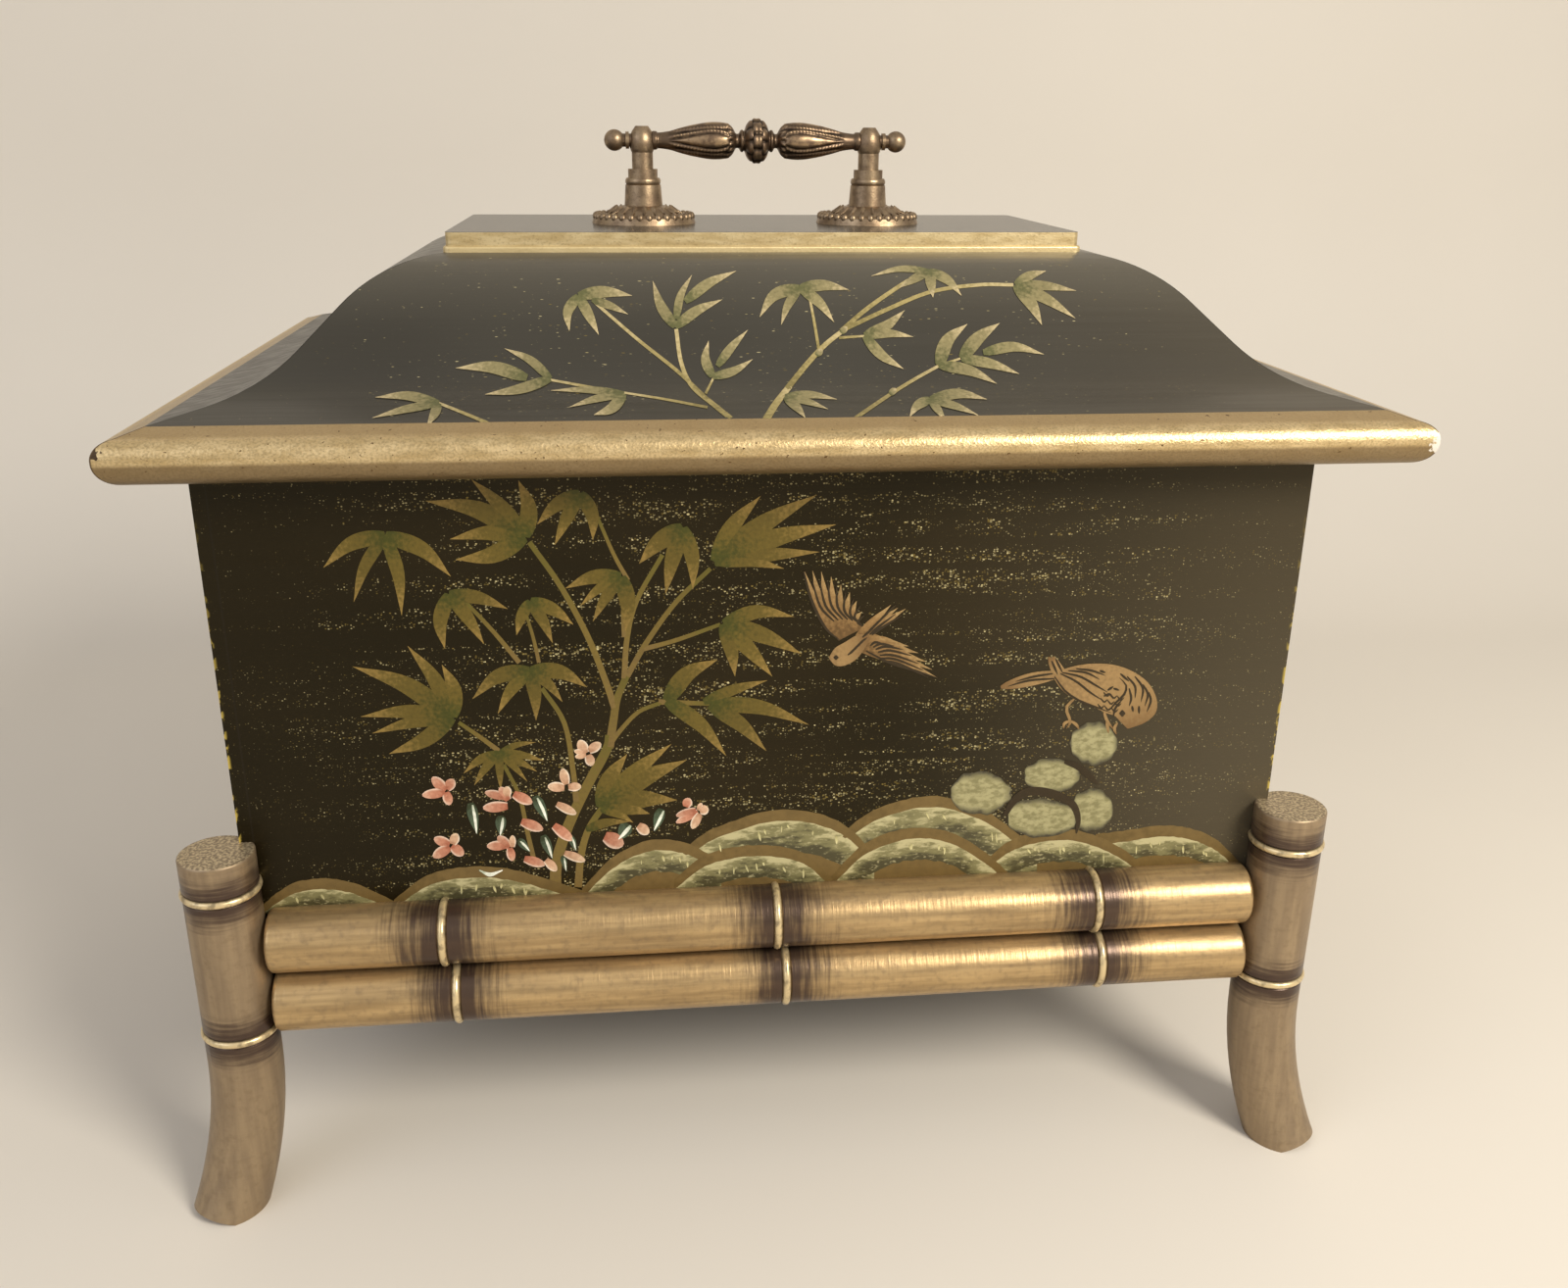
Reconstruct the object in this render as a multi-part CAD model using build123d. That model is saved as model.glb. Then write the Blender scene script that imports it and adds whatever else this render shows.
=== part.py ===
# Keepsake chest: a pagoda-lidded box on a bamboo-pattern stand.
# Millimetres, +Z up, front at -Y, origin on the floor under the middle of the chest.
from build123d import *
import os
from math import asin, cos, degrees, radians, sin, sqrt

os.makedirs("parts", exist_ok=True)

# Gap left between curved faces that touch on the real thing
NEAR = 0.3

# Box: four boards round a floor board
BODY_W = 322.0
BODY_D = 214.0
BODY_H = 174.0
BODY_LIFT = 61.1
WALL = 9.0
FLOOR_T = 6.0

# Lid: a gilded rim frame, four curved roof panels and a flat top board
OVERHANG = 21.2
PLATE_W = 200.0
PLATE_T = 6.0
PLATE_STEP = 0.8
PLATE_STEP_H = 1.9
PLATE_CORNER = 2.0
ROOF_T = 8.0
ROOF_LAND = 12.0
ROOF_SEAT = 5.0
CROWN_R = 40.0
COVE_R = 42.0
CROWN_SLOPE = 3.0
FLANK_RUN = 11.0
TOE_SLOPE = 12.0
TOE_RUN = 12.0

# Rim frame section, from its underside up and round the nose to the roof
RIM_UNDER_RUN = 6.4
RIM_NOSE_H = 7.2
RIM_SHOULDER_RUN = 4.6
RIM_SHOULDER_H = 5.1
RIM_BAND_RUN = 6.4
RIM_BAND_RISE = 2.0
RIM_LEDGE = 16.0

# Locating lip under the lid, which drops inside the box with some play.
# The lid stands to the right within that play.
LIP_GAP = 4.5
LID_SHIFT = 4.2
LIP_T = 8.0
LIP_H = 8.0

# Legs: turned bamboo-pattern posts that wrap the box corners
LEG_R = 11.1
LEG_OUT = 5.4
LEG_LAP = 60.3
LEG_NODE_DROP = 12.0
LEG_NODE_PITCH = 48.4
LEG_STRAIGHT = 10.1
LEG_THROW = 11.6
LEG_TOP_EDGE = 0.9
NODE_H = 2.4
NODE_PROUD = 0.7
NODE_GROOVE = 0.5

# Rails: two bamboo-pattern poles along each side, flat where they meet the box
RAIL_R = 9.9
RAIL_SEAT = 4.6
RAIL_UP = 28.9
RAIL_END_EDGE = 1.6
RAIL_NODE_PITCH = 102.6
RAIL_NODE_SHIFT_UPPER = 0.6
RAIL_NODE_SHIFT_LOWER = 3.4

# Screws that hold the legs, driven from the inside corners
LEG_SCREW_R = 1.9
LEG_SCREW_HOLE_R = 2.0
LEG_SCREW_LEN = 20.0
LEG_SCREW_HEAD_R = 3.6
LEG_SCREW_HEAD_H = 2.2
LEG_SCREW_SPOT_R = 4.2
LEG_SCREW_SPOT = 2.4
LEG_SCREW_LOW = 20.0
LEG_SCREW_PITCH = 26.0

# Handle: cast spindle between two posts on rosettes, screwed from under the lid
HANDLE_CENTRES = 76.2
BAR_Z = 26.2
ROSETTE_R = 17.4
ROSETTE_EDGE_H = 2.0
ROSETTE_BEAD_R = 15.2
ROSETTE_BEAD_H = 0.9
ROSETTE_DOME_R = 12.6
ROSETTE_H = 5.6
POST_CONE_R = 6.4
POST_CONE_TOP_R = 5.9
POST_CONE_H = 6.6
POST_RING_R = 5.5
POST_RING_H = 2.2
POST_COLLAR_R = 4.9
POST_COLLAR_H = 2.8
POST_STEM_R = 3.5
POST_HEAD_R = 4.2
POST_HEAD_H = 7.6
POST_CAP_R = 2.6
POST_CAP_H = 0.7
EYE_R = 2.2
BAR_END_R = 2.1
BAR_COLLAR_R = 2.9
BAR_COLLAR_H = 1.5
BAR_SWELL_R = 5.9
BAR_SWELL_AT = 17.0
BAR_NECK_R = 3.2
BAR_NECK_AT = 7.6
BAR_RING_R = 4.3
BAR_RING_H = 1.2
BAR_KNOT_R = 7.2
BAR_KNOT_LEN = 7.6
FINIAL_BALL_R = 3.4
FINIAL_NECK_R = 1.7
FINIAL_LEN = 8.2
FINIAL_COLLAR_R = 2.7
FINIAL_COLLAR_H = 1.1
FINIAL_SPIGOT_R = 1.0
FINIAL_SPIGOT_LEN = 3.0
HANDLE_SEAT_GAP = 0.1
HANDLE_SCREW_R = 1.9
HANDLE_SCREW_HOLE_R = 2.0
HANDLE_SCREW_DEPTH = 12.0
HANDLE_SCREW_HEAD_R = 3.8
HANDLE_SCREW_HEAD_H = 2.4
WASHER_R = 5.0
WASHER_T = 0.8

# Places that follow from the sizes above
BODY_TOP = BODY_LIFT + BODY_H
BODY_X = BODY_W / 2
BODY_Y = BODY_D / 2
INNER_X = BODY_X - WALL
INNER_Y = BODY_Y - WALL
LID_X = BODY_X + OVERHANG
LID_Y = BODY_Y + OVERHANG
ROOF_INSET = RIM_SHOULDER_RUN + RIM_BAND_RUN
PLATE_X = PLATE_W / 2
ROOF_RUN = LID_X - ROOF_INSET - PLATE_X
PLATE_Y = LID_Y - ROOF_INSET - ROOF_RUN
RIM_TOP = BODY_TOP + RIM_NOSE_H + RIM_SHOULDER_H + RIM_BAND_RISE
SEAT_Z = RIM_TOP - ROOF_SEAT
LEG_X = BODY_X + LEG_OUT
LEG_Y = BODY_Y + LEG_OUT
LEG_TOP = BODY_LIFT + LEG_LAP
LEG_NODE_UPPER = LEG_TOP - LEG_NODE_DROP
LEG_NODE_LOWER = LEG_NODE_UPPER - LEG_NODE_PITCH
LEG_FLARE_H = BODY_LIFT - LEG_STRAIGHT
LEG_FLARE_R = (LEG_FLARE_H**2 + LEG_THROW**2) / (2 * LEG_THROW)
RAIL_Z = BODY_LIFT + RAIL_UP
RAIL_LOWER_Z = RAIL_Z - 2 * RAIL_R - NODE_PROUD - NEAR
POST_X = HANDLE_CENTRES / 2


def slope_vectors(slope):
    """Unit vectors along a falling slope and square to it, outwards, in the section plane."""
    a = radians(slope)
    return Vector(cos(a), -sin(a)), Vector(sin(a), cos(a))


# The flank is as steep as both arcs need to take up the run that the flank and the toe leave
ARC_RUN = ROOF_RUN - FLANK_RUN - TOE_RUN
ARC_START = CROWN_R * sin(radians(CROWN_SLOPE)) + COVE_R * sin(radians(TOE_SLOPE))
FLANK_SLOPE = degrees(asin((ARC_RUN + ARC_START) / (CROWN_R + COVE_R)))
FLANK_LEN = FLANK_RUN / cos(radians(FLANK_SLOPE))


def ogee_path(depth, top_z):
    """Pieces of the roof's curve at a depth under its outer face: run from the top board, height."""
    toe_dir, toe_out = slope_vectors(TOE_SLOPE)
    flank_dir, flank_out = slope_vectors(FLANK_SLOPE)
    crown_out = slope_vectors(CROWN_SLOPE)[1]
    mid_out = slope_vectors((CROWN_SLOPE + FLANK_SLOPE) / 2)[1]
    mid_cove_out = slope_vectors((TOE_SLOPE + FLANK_SLOPE) / 2)[1]
    crown_centre = Vector(0, top_z) - crown_out * CROWN_R
    flank_start = crown_centre + flank_out * CROWN_R
    flank_end = flank_start + flank_dir * FLANK_LEN
    cove_centre = flank_end + flank_out * COVE_R
    toe_start = cove_centre - toe_out * COVE_R
    toe_end = toe_start + toe_dir * (TOE_RUN / cos(radians(TOE_SLOPE)))
    r1, r2 = CROWN_R - depth, COVE_R + depth
    return [
        ("arc", crown_centre + crown_out * r1, crown_centre + mid_out * r1, crown_centre + flank_out * r1),
        ("line", crown_centre + flank_out * r1, cove_centre - flank_out * r2),
        ("arc", cove_centre - flank_out * r2, cove_centre - mid_cove_out * r2, cove_centre - toe_out * r2),
        ("line", cove_centre - toe_out * r2, toe_end - toe_out * depth),
    ]


# The top board stands where the roof's curve, followed up from the rim, runs out
ROOF_RISE = -ogee_path(0, 0)[-1][-1].Y
PLATE_Z = RIM_TOP + ROOF_RISE
LID_TOP = PLATE_Z + PLATE_T


def ogee_edges(depth):
    """Edges of the roof's curve at a depth under its outer face."""
    made = []
    for kind, *points in ogee_path(depth, PLATE_Z):
        flat = [(p.X, p.Y) for p in points]
        made.append(ThreePointArc(*flat) if kind == "arc" else Line(*flat))
    return made


def section_face(edges):
    """A face from a closed run of edges in the section plane."""
    return make_face(Wire(edges))


def roof_section():
    """Cross-section of a roof panel: run from the top board across, height up."""
    outer, inner = ogee_edges(0), ogee_edges(ROOF_T)
    out_end, in_end = outer[-1] @ 1, inner[-1] @ 1
    in_start = inner[0] @ 0
    top_left = (-ROOF_LAND, PLATE_Z)
    edges = outer + inner
    edges += [Line(out_end, in_end), Line((0, PLATE_Z), top_left)]
    edges += [Line(top_left, (-ROOF_LAND, PLATE_Z - ROOF_T)), Line((-ROOF_LAND, PLATE_Z - ROOF_T), in_start)]
    face = section_face(edges)
    below = Pos(0, SEAT_Z - ROOF_RUN) * Rectangle(4 * ROOF_RUN, 2 * ROOF_RUN)
    toe = Pos(ROOF_RUN + ROOF_T, SEAT_Z) * Rectangle(2 * ROOF_T, 8 * ROOF_T)
    foot = Pos(ROOF_RUN - RIM_LEDGE / 2, SEAT_Z + ROOF_SEAT / 2) * Rectangle(RIM_LEDGE, ROOF_SEAT)
    body = (face + foot) - below - toe
    corner, rise_end = (0, PLATE_Z + 1), (out_end.X, PLATE_Z + 1)
    lid = [Line(out_end, rise_end), Line(rise_end, corner), Line(corner, (0, PLATE_Z))]
    return body - section_face(ogee_edges(0) + lid)


def mitred(section, half_length, reach_in, reach_out, origin):
    """A section run along X at the front, its ends mitred through the corner of a rectangle.

    half_length is half the rectangle's width, origin its front edge's distance from the middle."""
    long = half_length + reach_out
    solid = extrude(Plane.YZ * mirror(section, Plane.YZ), amount=long, both=True)
    solid = Pos(0, -origin, 0) * solid
    plan = Polyline(
        (-long, -origin - reach_out),
        (long, -origin - reach_out),
        (half_length - reach_in, -origin + reach_in),
        (-half_length + reach_in, -origin + reach_in),
        close=True,
    )
    height = 2 * (LID_TOP + BAR_Z)
    return solid & extrude(make_face(plan), amount=height, both=True)


def four_sides(make, x, y):
    """Front, back, right and left copies of a mitred piece that runs along a rectangle's sides."""
    front, side = make(x, y), make(y, x)
    return {
        "front": front,
        "back": Rot(0, 0, 180) * front,
        "right": Rot(0, 0, 90) * side,
        "left": Rot(0, 0, -90) * side,
    }


def roof_panels():
    section = roof_section()
    return four_sides(lambda x, y: mitred(section, x, ROOF_LAND, ROOF_RUN + 1, y), PLATE_X, PLATE_Y)


def rim_section():
    """Cross-section of the gilded rim: distance out from the box's outer face across, height up."""
    inner = -LIP_GAP - LIP_T - WALL
    nose = OVERHANG
    under_z, nose_z = BODY_TOP, BODY_TOP + RIM_NOSE_H
    shoulder = (nose - RIM_SHOULDER_RUN, nose_z + RIM_SHOULDER_H)
    band_end = (nose - ROOF_INSET, RIM_TOP)
    under_edge = (nose - RIM_UNDER_RUN, under_z)
    bow = sqrt(0.5)
    tip = (nose, nose_z)
    low_bow = (nose - RIM_UNDER_RUN * (1 - bow), nose_z - RIM_NOSE_H * bow)
    high_bow = (nose - RIM_SHOULDER_RUN * (1 - bow), nose_z + RIM_SHOULDER_H * bow)
    lower = ThreePointArc(under_edge, low_bow, tip)
    upper = ThreePointArc(tip, high_bow, shoulder)
    return section_face(
        [
            Line((inner, under_z), under_edge),
            lower,
            upper,
            Line(shoulder, band_end),
            Line(band_end, (band_end[0], SEAT_Z)),
            Line((band_end[0], SEAT_Z), (inner, SEAT_Z)),
            Line((inner, SEAT_Z), (inner, under_z)),
        ]
    )


def rim_pieces():
    section = rim_section()
    reach_in = WALL + LIP_GAP + LIP_T
    return four_sides(lambda x, y: mitred(section, x, reach_in, OVERHANG + 1, y), BODY_X, BODY_Y)


def block(x0, x1, y0, y1, z0, z1):
    """A box between two corners."""
    return Pos((x0 + x1) / 2, (y0 + y1) / 2, (z0 + z1) / 2) * Box(x1 - x0, y1 - y0, z1 - z0)


def standing(radius, z, height):
    """An upright cylinder on the Z axis, from z up."""
    return Pos(0, 0, z + height / 2) * Cylinder(radius, height)


def lip_strips():
    """Four strips under the rim: long ones front and back, short ones between them."""
    x, y = INNER_X - LIP_GAP, INNER_Y - LIP_GAP
    z0, z1 = BODY_TOP - LIP_H, BODY_TOP
    front = block(-x, x, -y, -y + LIP_T, z0, z1)
    side = block(x - LIP_T, x, -y + LIP_T, y - LIP_T, z0, z1)
    lead = 1.5
    front = chamfer(front.edges().group_by(Axis.Z)[0].filter_by(Axis.X).sort_by(Axis.Y)[0], lead)
    side = chamfer(side.edges().group_by(Axis.Z)[0].filter_by(Axis.Y).sort_by(Axis.X)[-1], lead)
    turn = Rot(0, 0, 180)
    return {"front": front, "back": turn * front, "right": side, "left": turn * side}


def top_board():
    """Flat board on top of the roof, with a rounded step along its lower edge."""
    base = Pos(0, 0, PLATE_Z)
    upper = RectangleRounded(2 * (PLATE_X - PLATE_STEP), 2 * (PLATE_Y - PLATE_STEP), PLATE_CORNER)
    lower = RectangleRounded(2 * PLATE_X, 2 * PLATE_Y, PLATE_CORNER)
    main = extrude(base * upper, amount=PLATE_T)
    bead = extrude(base * lower, amount=PLATE_STEP_H)
    bead = fillet(bead.edges().group_by(Axis.Z)[-1], PLATE_STEP * 0.9)
    board = main + bead
    for x in (-POST_X, POST_X):
        board -= Pos(x, 0, PLATE_Z + PLATE_T / 2) * Cylinder(HANDLE_SCREW_HOLE_R, PLATE_T + 2)
    return board


def corners():
    """Name, x sign and y sign of each corner, seen from the front."""
    return [
        ("front_left", -1, -1),
        ("front_right", 1, -1),
        ("back_left", -1, 1),
        ("back_right", 1, 1),
    ]


def screw_frame(sx, sy, z):
    """Plane at the box's inside corner, its normal pointing out along the diagonal to the leg."""
    return Plane(origin=(sx * INNER_X, sy * INNER_Y, z), x_dir=(0, 0, 1), z_dir=(sx, sy, 0))


def leg_screw_heights():
    return (BODY_LIFT + LEG_SCREW_LOW, BODY_LIFT + LEG_SCREW_LOW + LEG_SCREW_PITCH)


def leg_screw_holes():
    """Clearance holes and head seats of all the leg screws."""
    holes = []
    for _, sx, sy in corners():
        for z in leg_screw_heights():
            frame = screw_frame(sx, sy, z)
            depth = LEG_SCREW_SPOT + LEG_SCREW_LEN + 1
            holes.append(frame * extrude(Circle(LEG_SCREW_HOLE_R), amount=depth))
            holes.append(frame * extrude(Circle(LEG_SCREW_SPOT_R), amount=LEG_SCREW_SPOT))
            holes.append(frame * extrude(Circle(LEG_SCREW_SPOT_R), amount=-LEG_SCREW_SPOT_R - 1))
    return holes


def leg_screws():
    screws = []
    for _, sx, sy in corners():
        for z in leg_screw_heights():
            frame = screw_frame(sx, sy, z)
            seat = LEG_SCREW_SPOT
            head = Pos(0, 0, seat) * extrude(Circle(LEG_SCREW_HEAD_R), amount=-LEG_SCREW_HEAD_H)
            shank = Pos(0, 0, seat) * extrude(Circle(LEG_SCREW_R), amount=LEG_SCREW_LEN)
            screws.append(frame * (head + shank))
    return screws


def box_boards():
    """Front and back boards the full width, side boards between them, floor board inside all four."""
    z0, z1 = BODY_LIFT, BODY_TOP
    boards = {
        "box_front": block(-BODY_X, BODY_X, -BODY_Y, -INNER_Y, z0, z1),
        "box_back": block(-BODY_X, BODY_X, INNER_Y, BODY_Y, z0, z1),
        "box_left": block(-BODY_X, -INNER_X, -INNER_Y, INNER_Y, z0, z1),
        "box_right": block(INNER_X, BODY_X, -INNER_Y, INNER_Y, z0, z1),
    }
    holes = leg_screw_holes()
    for name, board in boards.items():
        for hole in holes:
            board = board - hole
        boards[name] = board
    boards["box_floor"] = block(-INNER_X, INNER_X, -INNER_Y, INNER_Y, z0, z0 + FLOOR_T)
    return boards


def bamboo_outline(ends, nodes, radius, end_edge):
    """Half outline of a bamboo pole, straight between nodes, with a ridge between two grooves at each.

    ends are the pole's two ends and nodes the ridge centres, all along the pole's axis."""
    edges = []
    stops = [ends[0]] + list(nodes) + [ends[1]]
    at = Vector(radius - end_edge, ends[0])
    edges.append(Line((0, ends[0]), at))
    edge_top = Vector(radius, ends[0] + end_edge)
    inset = end_edge * (1 - sqrt(0.5))
    edges.append(ThreePointArc(at, (radius - inset, ends[0] + inset), edge_top))
    at = edge_top
    half = NODE_H / 2
    for i in range(len(stops) - 1):
        last = i == len(stops) - 2
        high = ends[1] - end_edge if last else nodes[i] - half - NODE_GROOVE
        end = Vector(radius, high)
        edges.append(Line(at, end))
        if last:
            at = end
            continue
        low_groove = Vector(radius - NODE_GROOVE, nodes[i] - half)
        ridge = Vector(radius + NODE_PROUD, nodes[i])
        high_groove = Vector(radius - NODE_GROOVE, nodes[i] + half)
        out = Vector(radius, nodes[i] + half + NODE_GROOVE)
        ring = ThreePointArc(low_groove, ridge, high_groove)
        edges += [Line(end, low_groove), ring, Line(high_groove, out)]
        at = out
    tip = Vector(radius - end_edge, ends[1])
    edges.append(ThreePointArc(at, (radius - inset, ends[1] - inset), tip))
    edges.append(Line(tip, (0, ends[1])))
    edges.append(Line((0, ends[1]), (0, ends[0])))
    return section_face(edges)


def bamboo_pole(ends, nodes, radius, end_edge):
    """A turned pole along Z."""
    return revolve(Plane.XZ * bamboo_outline(ends, nodes, radius, end_edge), Axis.Z)


def leg(sx, sy):
    """A post with a flared foot, notched at the top to wrap a corner of the box."""
    nodes = (LEG_NODE_LOWER, LEG_NODE_UPPER)
    straight = bamboo_pole((LEG_FLARE_H, LEG_TOP), nodes, LEG_R, LEG_TOP_EDGE)
    joint = standing(LEG_R, LEG_FLARE_H, 2 * LEG_TOP_EDGE)
    sweep_h = LEG_FLARE_H + 2
    out = LEG_FLARE_R - sqrt(LEG_FLARE_R**2 - sweep_h**2)
    mid_h = sweep_h / 2
    mid_out = LEG_FLARE_R - sqrt(LEG_FLARE_R**2 - mid_h**2)
    knee = (0, 0, LEG_FLARE_H)
    path = ThreePointArc(knee, (mid_out, 0, LEG_FLARE_H - mid_h), (out, 0, LEG_FLARE_H - sweep_h))
    foot = sweep(Plane(origin=knee, z_dir=(0, 0, -1)) * Circle(LEG_R), path=path)
    foot -= Pos(0, 0, -LEG_FLARE_R) * Box(4 * LEG_FLARE_R, 4 * LEG_FLARE_R, 2 * LEG_FLARE_R)
    post = straight + joint + foot
    angle = {(1, 1): 45, (-1, 1): 135, (-1, -1): 225, (1, -1): 315}[(sx, sy)]
    post = Pos(sx * LEG_X, sy * LEG_Y, 0) * Rot(0, 0, angle) * post
    post -= block(-BODY_X, BODY_X, -BODY_Y, BODY_Y, BODY_LIFT, BODY_TOP)
    for hole in leg_screw_holes():
        post -= hole
    return post


def rail_half_length(half_along):
    """Half the length of a rail on a side, so that it stops just short of the legs' rings."""
    reach = sqrt((LEG_R + NODE_PROUD) ** 2 - (LEG_OUT - RAIL_SEAT) ** 2)
    return half_along + LEG_OUT - reach - NEAR


def rail_nodes(half, shift):
    """Where the rings are on a rail: three on a long one, two on a short one."""
    if half > RAIL_NODE_PITCH + 4 * RAIL_R:
        return [shift - RAIL_NODE_PITCH, shift, shift + RAIL_NODE_PITCH]
    return [shift - RAIL_NODE_PITCH / 2, shift + RAIL_NODE_PITCH / 2]


def rail(half_along, half_across, z, shift):
    """A pole on the front of a side, along X, flat where it lies against the box."""
    half = rail_half_length(half_along)
    pole = bamboo_pole((-half, half), rail_nodes(half, shift), RAIL_R, RAIL_END_EDGE)
    pole = Pos(0, -half_across - RAIL_SEAT, z) * Rot(0, 90, 0) * pole
    return pole - block(-half, half, -half_across, half_across, z - 2 * RAIL_R, z + 2 * RAIL_R)


def rails():
    """Eight rails: upper and lower on each side of the box."""
    levels = (("upper", RAIL_Z, RAIL_NODE_SHIFT_UPPER), ("lower", RAIL_LOWER_Z, RAIL_NODE_SHIFT_LOWER))
    made = {}
    for level, z, shift in levels:
        long_rail = rail(BODY_X, BODY_Y, z, shift)
        short_rail = rail(BODY_Y, BODY_X, z, shift)
        made[f"rail_{level}_front"] = long_rail
        made[f"rail_{level}_right"] = Rot(0, 0, 90) * short_rail
        made[f"rail_{level}_back"] = Rot(0, 0, 180) * long_rail
        made[f"rail_{level}_left"] = Rot(0, 0, 270) * short_rail
    return made


def turned(points):
    """A solid turned about Z from corners (radius, height).

    A third value on a corner is a point that bows the line ending there into an arc."""
    edges = []
    for a, b in zip(points, points[1:] + points[:1]):
        if len(b) == 3:
            edges.append(ThreePointArc(a[:2], b[2], b[:2]))
        elif (a[0] != b[0]) or (a[1] != b[1]):
            edges.append(Line(a[:2], b[:2]))
    return revolve(Plane.XZ * section_face(edges), Axis.Z)


def rosette():
    """Round cast base plate with a raised bead ring and a dome, bored for the screw."""
    z = LID_TOP
    ring_low = z + ROSETTE_EDGE_H
    ring_top = ring_low + ROSETTE_BEAD_H
    half = ROSETTE_R - ROSETTE_BEAD_R
    return turned(
        [
            (HANDLE_SCREW_HOLE_R, z),
            (ROSETTE_R, z),
            (ROSETTE_R - 0.6, ring_low),
            (ROSETTE_BEAD_R - half, ring_low, (ROSETTE_BEAD_R - 0.2, ring_top)),
            (ROSETTE_DOME_R, ring_low),
            (POST_CONE_R + 0.6, z + ROSETTE_H, (ROSETTE_DOME_R - 2.6, z + ROSETTE_H - 1.0)),
            (HANDLE_SCREW_HOLE_R, z + ROSETTE_H),
        ]
    )


def post():
    """Stepped post with a rounded head; the spindle passes through the head's eye."""
    z = LID_TOP + ROSETTE_H
    cone = z + POST_CONE_H
    ring = cone + POST_RING_H
    collar = ring + POST_COLLAR_H
    head_low = LID_TOP + BAR_Z - POST_HEAD_H / 2
    head_top = LID_TOP + BAR_Z + POST_HEAD_H / 2
    body = turned(
        [
            (0, z),
            (POST_CONE_R, z),
            (POST_CONE_TOP_R, cone),
            (POST_RING_R, cone),
            (POST_RING_R, ring, (POST_RING_R + 0.4, (cone + ring) / 2)),
            (POST_COLLAR_R, ring),
            (POST_COLLAR_R, collar),
            (POST_STEM_R, collar),
            (POST_STEM_R, head_low),
            (POST_CAP_R, head_top, (POST_HEAD_R, LID_TOP + BAR_Z)),
            (POST_CAP_R - 0.5, head_top + POST_CAP_H),
            (0, head_top + POST_CAP_H),
        ]
    )
    eye = Pos(0, 0, LID_TOP + BAR_Z) * Rot(0, 90, 0) * Cylinder(EYE_R, 4 * POST_HEAD_R)
    return body - eye - standing(HANDLE_SCREW_HOLE_R, z, HANDLE_SCREW_DEPTH)


def spindle():
    """Cast bar: a knot in the middle, rings, a swelling baluster each side and plain ends for the eyes."""
    inside = POST_X - POST_HEAD_R - HANDLE_SEAT_GAP
    outside = POST_X + POST_HEAD_R + HANDLE_SEAT_GAP
    knot = BAR_KNOT_LEN / 2
    ring_in = knot + BAR_RING_H
    collar = inside - BAR_COLLAR_H
    swell = BAR_SWELL_AT
    shape = [
        (0, 0),
        (BAR_KNOT_R, 0),
        (BAR_RING_R, knot, (BAR_KNOT_R * 0.86, knot * 0.62)),
        (BAR_RING_R, ring_in),
        (BAR_NECK_R, ring_in),
        (BAR_NECK_R, BAR_NECK_AT),
        (BAR_RING_R, BAR_NECK_AT),
        (BAR_RING_R, BAR_NECK_AT + BAR_RING_H),
        (BAR_SWELL_R, swell - 3.4, (BAR_SWELL_R - 0.35, swell - 6.2)),
        (BAR_END_R + 0.5, collar, (BAR_SWELL_R - 1.5, swell + 6.2)),
        (BAR_COLLAR_R, collar),
        (BAR_COLLAR_R, inside),
        (BAR_END_R, inside),
        (BAR_END_R, outside),
        (FINIAL_SPIGOT_R, outside),
        (FINIAL_SPIGOT_R, outside + FINIAL_SPIGOT_LEN),
        (0, outside + FINIAL_SPIGOT_LEN),
    ]
    half = turned(shape)
    whole = half + mirror(half, Plane.XY)
    return Pos(0, 0, LID_TOP + BAR_Z) * Rot(0, 90, 0) * whole


def finial():
    """Ball end that screws on to the spindle's spigot outside the post; along +Z from its seat."""
    ball_z = FINIAL_LEN - FINIAL_BALL_R
    neck_end = ball_z - sqrt(FINIAL_BALL_R**2 - FINIAL_NECK_R**2)
    hole_r = FINIAL_SPIGOT_R + HANDLE_SEAT_GAP
    hole_end = FINIAL_SPIGOT_LEN + HANDLE_SEAT_GAP
    return turned(
        [
            (hole_r, 0),
            (FINIAL_COLLAR_R, 0),
            (FINIAL_COLLAR_R, FINIAL_COLLAR_H),
            (FINIAL_NECK_R, neck_end, (FINIAL_NECK_R + 0.1, (FINIAL_COLLAR_H + neck_end) / 2)),
            (0, FINIAL_LEN, (FINIAL_BALL_R, ball_z)),
            (0, hole_end),
            (hole_r, hole_end),
        ]
    )


def handle_pieces():
    seat = POST_X + POST_HEAD_R + HANDLE_SEAT_GAP
    axis_z = LID_TOP + BAR_Z
    made = {"handle_spindle": spindle()}
    for side, s in (("left", -1), ("right", 1)):
        made[f"handle_rosette_{side}"] = Pos(s * POST_X, 0, 0) * rosette()
        made[f"handle_post_{side}"] = Pos(s * POST_X, 0, 0) * post()
        made[f"handle_finial_{side}"] = Pos(s * seat, 0, axis_z) * Rot(0, s * 90, 0) * finial()
    return made


def handle_fixings():
    """Screws from inside the lid up into the posts, each on a washer under the top board."""
    screws, washers = [], []
    head_top = PLATE_Z - WASHER_T
    length = LID_TOP + ROSETTE_H + HANDLE_SCREW_DEPTH - 1 - head_top
    for s in (-1, 1):
        shank = standing(HANDLE_SCREW_R, head_top, length)
        head = standing(HANDLE_SCREW_HEAD_R, head_top - HANDLE_SCREW_HEAD_H, HANDLE_SCREW_HEAD_H)
        screws.append(Pos(s * POST_X, 0, 0) * (shank + head))
        ring = standing(WASHER_R, head_top, WASHER_T)
        washers.append(Pos(s * POST_X, 0, 0) * (ring - standing(HANDLE_SCREW_HOLE_R, head_top, WASHER_T)))
    return {"handle_screws": screws, "handle_washers": washers}


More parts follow.
